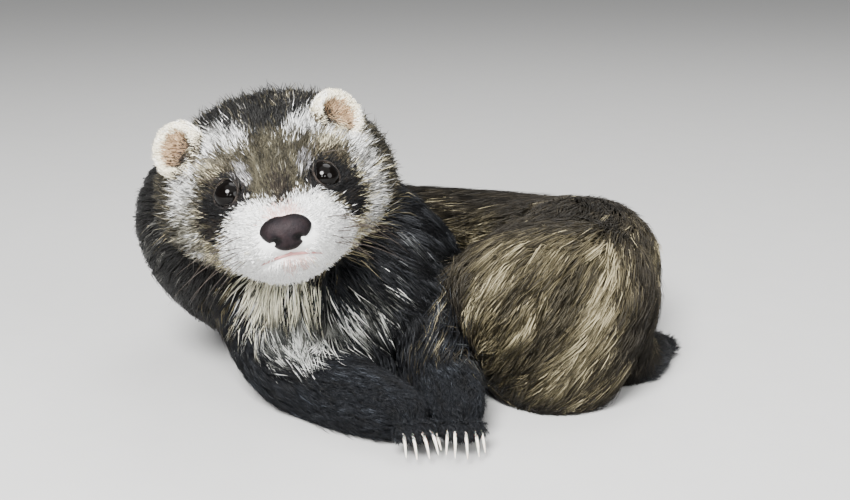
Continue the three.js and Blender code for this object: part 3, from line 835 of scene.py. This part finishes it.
def grow_coat(skin, plan, shares, chosen, prefix, material):
    """Hair over the chosen part of the skin, in pieces of a bounded size"""
    rng = np.random.default_rng(SEEDS[prefix])
    pick, weight = skin.scatter(plan["close"] * chosen, rng)
    root = skin.at(skin.points, pick, weight)
    normal = unit(skin.at(skin.normals, pick, weight))
    lie = skin.at(plan["lie"], pick, weight)
    lie = unit(lie - normal * (lie * normal).sum(-1, keepdims=True))
    length = skin.at(plan["length"], pick, weight)
    width = skin.at(plan["width"], pick, weight)
    lift = skin.at(plan["lift"], pick, weight)
    share = {k: skin.at(v, pick, weight) for k, v in shares.items()}
    count = len(root)
    long_hair = bool(np.median(length) > LONG_HAIR)
    kind = LONG_COAT if long_hair else SHORT_COAT
    # Hairs gather in clumps about a few of their number
    leaders = rng.choice(count, max(1, count // kind["clump"]), replace=False)
    tree = KDTree(len(leaders))
    for i, leader in enumerate(leaders.tolist()):
        tree.insert(root[leader], i)
    tree.balance()
    group = np.array([tree.find(place)[1] for place in root.tolist()])
    leader = leaders[group]
    swing = rng.normal(0, 0.16, len(leaders))[group] + rng.normal(0, 0.10, count)
    tone = share["tone"] + rng.normal(0, 0.16, len(leaders))[group] + rng.normal(0, 0.05, count)
    stray = rng.random(count) < kind["strays"]
    side = np.cross(normal, lie)
    lie = unit(lie + side * swing[:, None])
    length = length * rng.uniform(0.72, 1.16, count)
    lift = lift * rng.uniform(0.5, 1.1, count) * np.where(stray, kind["stray_lift"], 1.0)
    width = width * rng.uniform(0.75, 1.25, count) * np.where(stray, 0.7, 1.0)
    steps, rise, keep = (0.0, 0.45, 1.0), (0.0, 0.72, 1.0), (0.85, 1.0)
    line = [root - normal * 0.5]
    spot, here, way = root, normal, lie
    ups = [normal]
    for k in range(1, len(steps)):
        spot = spot + way * (length * (steps[k] - steps[k - 1]))[:, None]
        if long_hair:
            spot, here = skin.settle(spot)
            way = unit(way - here * (way * here).sum(-1, keepdims=True))
        line.append(spot + here * (lift * rise[k])[:, None])
        ups.append(here)
    for k in range(1, len(line)):
        line[k] = line[k] + (line[k][leader] - line[k]) * (kind["pull"] * steps[k] ** 1.5)
    thick = width * 0.5
    rings = []
    for k in range(len(line) - 1):
        ahead = unit(line[k + 1] - line[k])
        up = unit(ups[k] - ahead * (ups[k] * ahead).sum(-1, keepdims=True))
        rings.append(line[k][:, None] + section(ahead, up, width * keep[k], thick * keep[k]))
    rings = np.stack(rings)
    rings[..., 2] = np.maximum(rings[..., 2], 0.15)
    tips = line[-1].copy()
    tips[:, 2] = np.maximum(tips[:, 2], 0.2)
    low, high = all_marks(root, share, tone, rng)
    shade = rng.uniform(0.84, 1.12, count)[:, None]
    low, high = low * shade * 0.72, high * shade
    flat = layout_places(root, share)
    order = rng.permutation(count)
    parts = int(math.ceil(count / HAIRS_IN_PIECE))
    made = []
    for i in range(parts):
        part = order[i::parts]
        made.append(hair_mesh(f"{prefix}_{i + 1}", rings[:, part], tips[part], low[part],
                              high[part], flat[part], material))
    return made, count


STATE = {}


def skin_state():
    if "skin" not in STATE:
        skin = Skin(bpy.data.objects["skin"])
        plan, shares = coat_plan(skin.points, skin.normals)
        STATE["skin"] = (skin, plan, shares)
    return STATE["skin"]


class FerretSizes(bpy.types.PropertyGroup):
    """Sizes of the skin and its coat"""
    coat_depth: FloatProperty(
        name="Coat depth", description="How far the skin lies under the tips of the body's coat",
        default=0.0036, unit="LENGTH")
    face_depth: FloatProperty(
        name="Face depth", description="How far the skin lies under the tips on the muzzle",
        default=0.0009, unit="LENGTH")
    skin_grain: FloatProperty(
        name="Skin grain", description="Size of the cells that the skin is made of",
        default=0.00125, unit="LENGTH")
    eye_radius: FloatProperty(
        name="Eye radius", description="Radius of each eyeball", default=0.0045, unit="LENGTH")
    whisker_length: FloatProperty(
        name="Whisker length", description="Length of the longest whiskers",
        default=0.030, unit="LENGTH")
    whiskers: IntProperty(
        name="Whiskers", description="Whiskers on each side of the muzzle", default=11)
    seed: IntProperty(name="Seed", description="Seed of the whiskers' small differences", default=7)


class FerretColours(bpy.types.PropertyGroup):
    """Colours of the eyes, nose, claws and floor"""
    eye: FloatVectorProperty(
        name="Eye", description="Colour of the eyes", subtype="COLOR", size=3,
        default=(0.0012, 0.0010, 0.0009))
    nose: FloatVectorProperty(
        name="Nose", description="Colour of the nose pad", subtype="COLOR", size=3,
        default=(0.0086, 0.0056, 0.0062))
    claw: FloatVectorProperty(
        name="Claw", description="Colour of the claws", subtype="COLOR", size=3,
        default=(0.62, 0.60, 0.54))
    floor: FloatVectorProperty(
        name="Floor", description="Colour of the floor", subtype="COLOR", size=3,
        default=(0.36, 0.357, 0.35))


def ear_turn(sign):
    """The turn of an ear's own axes in the head's"""
    turn = Matrix.Rotation(sign * -0.35, 3, "X") @ Matrix.Rotation(-0.6, 3, "Y")
    return np.array(turn @ Matrix.Rotation(sign * 0.35, 3, "Z"))


def ear_shape(name):
    """A thin bowl, open to the front, in the head's axes"""
    def shape(ball):
        size = EAR_SIZE * 0.98
        far = np.clip(np.hypot(ball[:, 1], ball[:, 2]), 0, 1)
        rim = 1.5 * np.sqrt(np.clip(1 - ((far - 0.84) / 0.16) ** 2, 0, 1))
        dish = -EAR_DISH * np.clip(1 - (far / EAR_MOUTH) ** 2, 0, 1)
        back = -size[0] * np.clip(1 - far ** 4, 0, 1) ** 0.5
        ahead = np.where(ball[:, 0] > 0, np.where(far > EAR_MOUTH, rim, dish), back * 0.9) + 1.2
        places = np.stack([ahead, ball[:, 1] * size[1], ball[:, 2] * size[2]], 1)
        places = places @ ear_turn(SIDES[name]).T
        return from_head(places + np.array(EAR_PLACE[name]))
    return shape


def carve_face(places):
    """Hollows before the ears, the pads of the muzzle and the mouth's groove"""
    spot = to_head(places)
    near = (spot[:, 0] > -48) & (np.abs(spot[:, 1]) < 45) & (np.abs(spot[:, 2]) < 45)
    for name, place in EAR_PLACE.items():
        middle = np.array(place) + np.array([7.0, 0.5 * SIDES[name], 4.5])
        gap = np.linalg.norm(spot - middle, axis=1)
        inward = -unit(spot * np.array([0, 1, 1]))
        depth = np.clip(9.5 - gap, 0, 4.5) * smooth(0, 4, 9.5 - gap)
        spot = spot + inward * (depth * near)[:, None]
    f, l, u = spot.T
    side = np.abs(l)
    front = smooth(9, 15, f) * near
    gap = u - mouth_height(l)
    groove = 1.5 * np.exp(-((gap / 0.75) ** 2)) * smooth(14, 10, side)
    pads = 1.4 * np.exp(-((side - 6.0) / 4.2) ** 2 - ((gap - 4.2) / 3.6) ** 2)
    split = 1.0 * np.exp(-((l / 0.8) ** 2)) * smooth(-0.5, 0.5, gap) * smooth(3.5, 2.0, gap)
    spot[:, 0] += (pads - groove - split) * front
    return from_head(spot)


def toe_places(name):
    """Each toe's middle and heading, spread before the foot"""
    form = FORMS[name]
    last, before = form.places[-1], form.places[-2]
    heading = math.atan2(last[1] - before[1], last[0] - before[0])
    foot = last - np.array([math.cos(heading) * 2, math.sin(heading) * 2, 1.2])
    for i in range(TOES):
        t = (i / (TOES - 1)) * 2 - 1
        angle = heading + t * FEET[name]
        reach = 7.2 - 1.6 * t * t
        place = foot + np.array([math.cos(angle), math.sin(angle), 0]) * reach
        yield place, angle


class FERRET_OT_stage(bpy.types.Operator):
    """Add the floor, the soft lights and the camera"""
    bl_idname = "ferret.stage"
    bl_label = "Stage"

    def execute(self, context):
        colours = context.scene.ferret_colours
        bpy.ops.object.select_all(action="DESELECT")
        bpy.ops.mesh.primitive_plane_add(size=14, location=(0, 0, 0))
        floor = context.object
        floor.name = "floor"
        pale = np.array(colours.floor)
        material = mottled("floor_paper", 60.0, pale * 0.97, pale * 1.03, 0.85,
                           bump=0.12, distance=0.0004)[0]
        floor.data.materials.append(material)
        world = bpy.data.worlds.new("studio")
        context.scene.world = world
        world.use_nodes = True
        background = world.node_tree.nodes["Background"]
        background.inputs["Color"].default_value = (0.95, 0.97, 1.0, 1)
        background.inputs["Strength"].default_value = WORLD_LIGHT
        for name, place, radius, power in LAMPS:
            bpy.ops.object.select_all(action="DESELECT")
            bpy.ops.object.light_add(type="POINT", location=place)
            lamp = context.object
            lamp.name = name
            lamp.data.shadow_soft_size = radius
            lamp.data.energy = power
        bpy.ops.object.light_add(type="SUN", location=(0, 0, 2), rotation=(0.35, 0.15, 0))
        context.object.name = "sky"
        context.object.data.angle = SKY_WIDTH
        context.object.data.energy = SKY_LIGHT
        place = to_frame(CAMERA_PLACE)
        bpy.ops.object.camera_add(location=place, rotation=(CAMERA_PITCH, 0, 0))
        camera = context.object
        camera.name = "camera"
        camera.data.sensor_width = CAMERA_SENSOR
        camera.data.lens = CAMERA_LENS
        camera.data.clip_start = 0.01
        context.scene.camera = camera
        return {"FINISHED"}


def form_shape(name, deep, shallow):
    """The skin's shape over one form, as deep under the coat as its place asks"""
    def shape(ball):
        z = np.clip(ball[:, 2], -1, 1)
        ring = np.sqrt(np.clip(1 - z * z, 0, 1))
        across = np.where(ring > 1e-6, ball[:, 0] / np.maximum(ring, 1e-9), 1)
        above = np.where(ring > 1e-6, ball[:, 1] / np.maximum(ring, 1e-9), 0)
        t = (1 - z) / 2
        if name == "head":
            grow = -(shallow + (3.0 - shallow) * smooth(0.15, 0.75, t))
        elif name in FEET:
            start = 0.5 if name == "hindleg_right" else 0.2
            grow = -(deep - (deep - 0.7) * smooth(start, 0.8, t))
        else:
            grow = -deep + 0 * t
        return FORMS[name].surface(t, across, above, grow)
    return shape


def toe_shape(place, angle):
    def shape(ball):
        ball = ball * (np.array([TOE_RADIUS * 1.3, TOE_RADIUS, TOE_RADIUS]) - 0.5)
        c, s = math.cos(angle), math.sin(angle)
        turned = np.stack([ball[:, 0] * c - ball[:, 1] * s,
                           ball[:, 0] * s + ball[:, 1] * c, ball[:, 2]], 1)
        return turned + place
    return shape


def eyelid(side, sign):
    """A ring of bare skin round the front of an eye"""
    aim = beside(EYE_AIM, sign)
    aim = aim / np.linalg.norm(aim)
    bpy.ops.object.select_all(action="DESELECT")
    bpy.ops.mesh.primitive_torus_add(major_radius=LID_RADIUS, minor_radius=0.4,
                                     major_segments=48, minor_segments=12)
    lid = bpy.context.object
    lid.name = "lid_" + side
    ring = read_points(lid)
    ring[:, 1] *= 1.12
    level = unit(np.cross(UP, aim))
    over = np.cross(aim, level)
    place = ring[:, :1] * level + ring[:, 1:2] * over + ring[:, 2:] * aim + aim * LID_AHEAD
    write_points(lid, to_frame(from_head(place + beside(EYE_PLACE, sign))))
    return lid


class FERRET_OT_skin(bpy.types.Operator):
    """Model the skin with ears, eyelids and feet"""
    bl_idname = "ferret.skin"
    bl_label = "Skin"

    def execute(self, context):
        sizes = context.scene.ferret_sizes
        deep, shallow = sizes.coat_depth / MM, sizes.face_depth / MM
        pieces = []
        for name in FORMS:
            fine = 96 if name in ("spine", "head") else 48
            pieces.append(sphere(name + "_form", fine // 2, fine, form_shape(name, deep, shallow)))
        for name in FEET:
            for i, (place, angle) in enumerate(toe_places(name)):
                pieces.append(sphere(f"{name}_toe_{i}", 16, 12, toe_shape(place, angle)))
        skin = join(pieces, "skin")
        finish_with(skin, "REMESH", mode="VOXEL", voxel_size=sizes.skin_grain, adaptivity=0.0)
        finish_with(skin, "SMOOTH", factor=0.5, iterations=7)
        write_points(skin, to_frame(carve_face(read_points(skin) / MM - SHIFT)))
        ears = [sphere("ear_" + side, 56, 40, ear_shape(side)) for side in SIDES]
        lids = [eyelid(side, sign) for side, sign in SIDES.items()]
        skin = join([skin] + ears + lids, "skin")
        places = read_points(skin)
        places[:, 2] = np.maximum(places[:, 2], 0.0003)
        write_points(skin, places)
        face_outwards(skin)
        skin.data.materials.clear()
        skin.data.materials.append(tinted("skin_fur", 0.85, 0.6))
        surface, _, shares = skin_state()
        low, high = all_marks(surface.points, shares, shares["tone"])
        write_tint(skin.data, low * 0.45 + high * 0.2)
        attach(skin, "root")
        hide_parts(*FLESH)
        print("skin", len(skin.data.vertices), "points")
        return {"FINISHED"}


def ear_share(places):
    """How far each place belongs to an ear, how near its rim, how far inside, how far out and up"""
    spot = to_head(places)
    belongs, rim, inner, outer = np.zeros((4, len(places)))
    for name, place in EAR_PLACE.items():
        off = spot - np.array(place)
        local = off @ ear_turn(SIDES[name])
        ring = np.hypot(local[:, 1] / EAR_SIZE[1], local[:, 2] / EAR_SIZE[2])
        near = smooth(1.12, 1.03, ring)
        near = near * smooth(-5.6, -4.6, local[:, 0]) * smooth(5.0, 4.0, local[:, 0])
        dish = EAR_DISH * np.clip(1 - (ring / EAR_MOUTH) ** 2, 0, 1)
        inside = smooth(-1.2, -0.2, local[:, 0] + dish + 0.4)
        away = 0.7 * SIDES[name] * off[:, 1] / EAR_SIZE[1] + 0.7 * off[:, 2] / EAR_SIZE[2]
        belongs = np.maximum(belongs, near)
        rim = np.where(near > 0.3, ring, rim)
        inner = np.where(near > 0.3, inside, inner)
        outer = np.where(near > 0.3, away, outer)
    return belongs, rim, inner, outer


def ear_marks(places, paint):
    """Pale rims, bare skin in the cups and dark hair over their inner edges"""
    ear, rim, inner, outer = ear_share(places)
    paint.lay(ear, OLIVE, rgb(150, 142, 124), BLACK, 0.2, CREAM, 0.4)
    deep = smooth(0.35, -0.35, outer)
    paint.lay(ear * inner, rgb(150, 118, 92), rgb(178, 152, 118), SABLE, 0.22, CREAM, 0.2)
    paint.lay(ear * inner * deep, rgb(52, 44, 36), rgb(74, 66, 52), BLACK, 0.45, CREAM, 0.22)
    pale = smooth(0.58, 0.74, rim) * (1 - 0.8 * smooth(0.0, -0.6, outer))
    paint.lay(ear * pale, rgb(236, 226, 200), rgb(240, 232, 208), CREAM, 0.3, WHITE, 0.3)


def all_marks(places, share, tone, rng=None):
    """Root and tip colours for hairs, or even colours where no random numbers are given"""
    paint = Paint(len(places), tone, rng)
    jitter = np.zeros_like(places)
    if rng is not None:
        jitter = rng.normal(0, 1, places.shape) * (0.95 + 1.3 * (1 - share["head"]))[:, None]
    body_marks(places + jitter, share, paint)
    head_marks(places + jitter, paint, share["head"])
    ear_marks(places, paint)
    if rng is None:
        for sign in SIDES.values():
            reach = np.linalg.norm(to_head(places) - beside(EYE_PLACE, sign), axis=1)
            lid = smooth(5.0, 4.7, reach)
            paint.root, paint.tip = blend(paint.root, LID, lid), blend(paint.tip, LID, lid)
    return paint.root, paint.tip


class FERRET_OT_eyes(bpy.types.Operator):
    """Model the two eyeballs"""
    bl_idname = "ferret.eyes"
    bl_label = "Eyes"

    def execute(self, context):
        sizes, colours = context.scene.ferret_sizes, context.scene.ferret_colours
        radius = sizes.eye_radius / MM
        dark = np.array(colours.eye)
        material, shader = mottled("eye_gloss", 700.0, dark * 0.7, dark * np.array([1.5, 1.3, 1.2]),
                                   0.06, detail=3.0)
        shader.inputs["Specular IOR Level"].default_value = 0.13
        for side, sign in SIDES.items():
            eye, aim = beside(EYE_PLACE, sign), beside(EYE_AIM, sign)
            aim = aim / np.linalg.norm(aim)

            def shape(ball, eye=eye, aim=aim):
                front = smooth(0.55, 1.0, ball @ aim)
                return from_head(eye + ball * (radius * (1 + 0.03 * front))[:, None])
            ball = sphere("eyeball_" + side, 48, 32, shape)
            ball.data.materials.append(material)
            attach(ball, "root")
            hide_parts("eye_" + side)
        return {"FINISHED"}


def nostril(y, z):
    """How deep a place of the nose lies in a nostril, and in its slit to the side"""
    y = np.abs(y)
    hole = np.exp(-(np.hypot((y - 3.0) / 1.5, (z + 1.2) / 1.15) ** 4))
    slit = np.exp(-(np.hypot((y - 4.5) / 1.5, (z + 1.75 + 0.3 * (y - 4.5)) / 0.6) ** 2))
    return hole, slit


def nose_shape(ball):
    """A pad wide and flat on top, narrow below, with comma nostrils and a groove between them"""
    x, y, z = ball.T
    y, z = np.sign(y) * np.abs(y) ** 0.88, np.sign(z) * np.abs(z) ** 0.86
    front = smooth(0.0, 0.45, x)
    wide = y * NOSE_SIZE[1] * (1.0 - 0.36 * smooth(0.3, -0.95, z))
    high = z * NOSE_SIZE[2] + NOSE_RISE
    high = high - 0.35 * np.exp(-((y / 0.25) ** 2)) * smooth(0.3, 1.0, z)
    hole, slit = nostril(wide, high)
    ahead = x * NOSE_SIZE[0] - 1.3 * hole * front - 0.5 * slit * front
    ahead = ahead - 0.7 * np.exp(-((wide / 0.4) ** 2)) * smooth(0.2, -0.6, z)
    return from_head(np.stack([ahead, wide, high], 1) + np.array(NOSE_PLACE))


class FERRET_OT_nose(bpy.types.Operator):
    """Model the nose pad with its nostrils, and the line of the mouth"""
    bl_idname = "ferret.nose"
    bl_label = "Nose and mouth"

    def execute(self, context):
        nose = sphere("nose_pad", 96, 72, nose_shape)
        spot = to_head(read_points(nose) / MM - SHIFT) - np.array(NOSE_PLACE)
        hole, slit = nostril(spot[:, 1], spot[:, 2])
        edge = np.hypot(spot[:, 1] / NOSE_SIZE[1], (spot[:, 2] - NOSE_RISE) / NOSE_SIZE[2])
        base = np.array(context.scene.ferret_colours.nose)
        colour = blend(np.tile(base, (len(spot), 1)), base * 0.3, 0.75 * smooth(0.62, 0.95, edge))
        # Painted highlight along the nostrils' side slits
        colour = blend(colour, base * 2.2, 0.8 * slit)
        # Painted shade deep in the nostril holes
        colour = blend(colour, base * 0.12, np.clip(hole, 0, 1))
        write_tint(nose.data, colour)
        nose.data.materials.append(nose_leather())
        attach(nose, "root")
        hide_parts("nose")
        skin = skin_state()[0]
        across = np.linspace(-1, 1, 41)
        spots = []
        for l in across * 8.5:
            place = from_head([[40.0, l, mouth_height(l)]])[0]
            hit = skin.tree.ray_cast(Vector(place), Vector(-F), 60)[0]
            spots.append(np.array(hit) + F * 0.05)
        lips = fine_tube(spots, 0.42 * (1 - across ** 2) + 0.12, 8)
        line = [spots[20] + F * 0.1 + U * step for step in np.linspace(-0.2, 3.6, 8)]
        seam = fine_tube(line, 0.34 * np.array([1, 1, 1, 1, 1, 0.9, 0.7, 0.4]), 8)
        mouth = tubes_object("mouth", [lips, seam], plain_hair("lip_skin", rgb(168, 118, 114), 0.5))
        return {"FINISHED"}


class FERRET_OT_head_coat(bpy.types.Operator):
    """Grow the short coat of the head and ears"""
    bl_idname = "ferret.head_coat"
    bl_label = "Coat of the head"

    def execute(self, context):
        skin, plan, shares = skin_state()
        spot = to_head(skin.points)
        ear, rim, inner = ear_share(skin.points)[:3]
        on_ear = {"length": 2.2 + 1.6 * inner * smooth(0.8, 0.4, rim), "width": 0.24,
                  "lift": 0.55, "close": 5.0}
        plan = dict(plan)
        for key, value in on_ear.items():
            plan[key] = plan[key] + (value - plan[key]) * ear
        outward = unit(spot - np.array([-34.0, 0.0, 2.0])) @ HEAD_AXES
        outward -= skin.normals * (outward * skin.normals).sum(-1, keepdims=True)
        plan["lie"] = unit(blend(plan["lie"], unit(outward), ear))
        eyes = np.stack([np.linalg.norm(spot - beside(EYE_PLACE, sign), axis=1)
                         for sign in SIDES.values()]).min(0)
        nose = np.linalg.norm((spot - np.array(NOSE_PLACE)) / np.array([5.0, 6.9, 4.9]), axis=1)
        mouth = np.abs(spot[:, 2] - mouth_height(spot[:, 1])) + 4 * (spot[:, 0] < 12)
        mouth = mouth + 2 * np.maximum(np.abs(spot[:, 1]) - 10.5, 0)
        bare = smooth(4.25, 4.7, eyes) * smooth(0.98, 1.1, nose) * smooth(0.5, 0.95, mouth)
        plan["close"] = np.minimum(plan["close"] * 1.15, 5.6) * bare
        head = np.maximum((shares["head"] > 0.5).astype(float), (ear > 0.4).astype(float))
        material = tinted("coat_hair_fine", 0.66)
        made, count = grow_coat(skin, plan, shares, head, "coat_head", material)
        print("head coat", count, "hairs in", len(made))
        return {"FINISHED"}


class FERRET_OT_body_coat(bpy.types.Operator):
    """Grow the long coat of the body and the short coat of the legs"""
    bl_idname = "ferret.body_coat"
    bl_label = "Coat of the body"

    def execute(self, context):
        skin, plan, shares = skin_state()
        ear = ear_share(skin.points)[0]
        body = ((shares["head"] <= 0.5) & (ear <= 0.4)).astype(float)
        long_hair = body * (plan["length"] > LEG_HAIR)
        short_hair = body * (plan["length"] <= LEG_HAIR)
        material = tinted("coat_hair_long", 0.6)
        made, count = grow_coat(skin, plan, shares, long_hair, "coat_body", material)
        legs, more = grow_coat(skin, plan, shares, short_hair, "coat_legs", material)
        print("body coat", count, "hairs in", len(made), "legs", more, "in", len(legs))
        return {"FINISHED"}


def fine_tube(line, radii, sides=5):
    """A closed tapered tube along a line: its points and its faces"""
    line, count = np.asarray(line, float), len(line)
    ahead = unit(np.gradient(line, axis=0))
    side = unit(np.cross(ahead, UP + np.array([0.01, 0.02, 0])))
    over = np.cross(ahead, side)
    points, faces = [], []
    for i in range(count):
        for c in range(sides):
            angle = 2 * math.pi * c / sides
            out = side[i] * math.cos(angle) + over[i] * math.sin(angle)
            points.append(line[i] + out * radii[i])
    for i in range(count - 1):
        for c in range(sides):
            a, b = i * sides + c, i * sides + (c + 1) % sides
            faces.append((a, b, b + sides, a + sides))
    faces.append(tuple(reversed(range(sides))))
    faces.append(tuple(range((count - 1) * sides, count * sides)))
    return points, faces


def tubes_object(name, tubes, material):
    points, faces = [], []
    for tube_points, tube_faces in tubes:
        start = len(points)
        points += [tuple(p) for p in to_frame(tube_points)]
        faces += [tuple(i + start for i in face) for face in tube_faces]
    mesh = bpy.data.meshes.new(name)
    mesh.from_pydata(points, [], faces)
    obj = bpy.data.objects.new(name, mesh)
    bpy.context.scene.collection.objects.link(obj)
    face_outwards(obj)
    mesh.materials.append(material)
    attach(obj, "root")
    return obj


def plain_hair(name, colour, roughness):
    return mottled(name, 900.0, colour * 0.7, colour * 1.3, roughness, bump=0.2)[0]


class FERRET_OT_whiskers(bpy.types.Operator):
    """Grow the whiskers of the muzzle and brows"""
    bl_idname = "ferret.whiskers"
    bl_label = "Whiskers"

    def execute(self, context):
        sizes = context.scene.ferret_sizes
        rng = np.random.default_rng(sizes.seed)
        skin = skin_state()[0]
        tubes = []
        for sign in SIDES.values():
            roots = []
            for i in range(sizes.whiskers):
                t = i / (sizes.whiskers - 1)
                roots.append((23 - 9 * t + rng.uniform(-1, 1), 9.0 + 5.5 * t,
                              -12.5 - 5.5 * (i % 3) / 2 + rng.uniform(-0.6, 0.6), 0.55 + 0.45 * t))
            for i in range(3):
                roots.append((6 + rng.uniform(-1, 1), 11.5 + 2 * i, 7.0, 0.5))
            for f, side, u, share in roots:
                place = from_head([f, side * sign, u])
                spot, normal = skin.settle(place[None])
                spot, normal = spot[0], normal[0]
                length = sizes.whisker_length / MM * share * rng.uniform(0.8, 1.05)
                back = -F * rng.uniform(0.5, 0.9) + L * sign * rng.uniform(0.5, 0.8)
                back = unit(back + U * rng.uniform(-0.35, 0.1))
                steps = np.linspace(0, 1, 12)
                line = [spot + normal * (2.2 * math.sin(k * 1.6)) + back * length * k
                        - U * length * (0.30 * k * k) for k in steps]
                tubes.append(fine_tube(line, 0.14 * (1 - 0.88 * steps)))
        whiskers = tubes_object("whiskers", tubes, plain_hair("whisker_hair", rgb(58, 50, 44), 0.4))
        return {"FINISHED"}


class FERRET_OT_claws(bpy.types.Operator):
    """Finish the claws of the four feet"""
    bl_idname = "ferret.claws"
    bl_label = "Claws"

    def execute(self, context):
        base = np.array(context.scene.ferret_colours.claw)
        material, shader = mottled("claw_horn", 500.0, base * np.array([0.7, 0.62, 0.55]),
                                   base * 1.2, 0.3, bump=0.15)
        shader.inputs["Subsurface Weight"].default_value = 0.15
        shader.inputs["Subsurface Scale"].default_value = 0.001
        for name in FEET:
            for i in range(TOES):
                source = f"{name}_claw_{i + 1}"
                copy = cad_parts[source].copy()
                copy.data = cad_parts[source].data.copy()
                copy.name = source + "_horn"
                for key in list(copy.keys()):
                    del copy[key]
                context.scene.collection.objects.link(copy)
                only(copy)
                bpy.ops.object.mode_set(mode="EDIT")
                bpy.ops.mesh.select_all(action="SELECT")
                bpy.ops.mesh.remove_doubles(threshold=0.00001)
                bpy.ops.object.mode_set(mode="OBJECT")
                finish_with(copy, "SUBSURF", levels=2, render_levels=2)
                bpy.ops.object.shade_smooth()
                copy.data.materials.clear()
                copy.data.materials.append(material)
                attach(copy, "root")
                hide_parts(source)
        return {"FINISHED"}


OPERATORS = (
    FERRET_OT_stage, FERRET_OT_skin, FERRET_OT_eyes, FERRET_OT_nose, FERRET_OT_head_coat,
    FERRET_OT_body_coat, FERRET_OT_whiskers, FERRET_OT_claws,
)


class FERRET_PT_panel(bpy.types.Panel):
    """The pieces of the ferret, in the order in which they are made"""
    bl_idname = "FERRET_PT_panel"
    bl_label = "Lying Ferret"
    bl_space_type = "VIEW_3D"
    bl_region_type = "UI"
    bl_category = "Ferret"

    def draw(self, context):
        for group in (context.scene.ferret_sizes, context.scene.ferret_colours):
            for name in group.bl_rna.properties.keys():
                if name not in ("rna_type", "name"):
                    self.layout.prop(group, name)
        for operator in OPERATORS:
            self.layout.operator(operator.bl_idname)


CLASSES = (FerretSizes, FerretColours) + OPERATORS + (FERRET_PT_panel,)


def register():
    for item in CLASSES:
        bpy.utils.register_class(item)
    bpy.types.Scene.ferret_sizes = PointerProperty(type=FerretSizes)
    bpy.types.Scene.ferret_colours = PointerProperty(type=FerretColours)


def unregister():
    del bpy.types.Scene.ferret_colours
    del bpy.types.Scene.ferret_sizes
    for item in reversed(CLASSES):
        bpy.utils.unregister_class(item)


def main():
    register()
    bpy.ops.ferret.stage()
    bpy.ops.ferret.skin()
    bpy.ops.ferret.eyes()
    bpy.ops.ferret.nose()
    bpy.ops.ferret.head_coat()
    bpy.ops.ferret.body_coat()
    bpy.ops.ferret.whiskers()
    bpy.ops.ferret.claws()


if __name__ == "__main__":
    main()
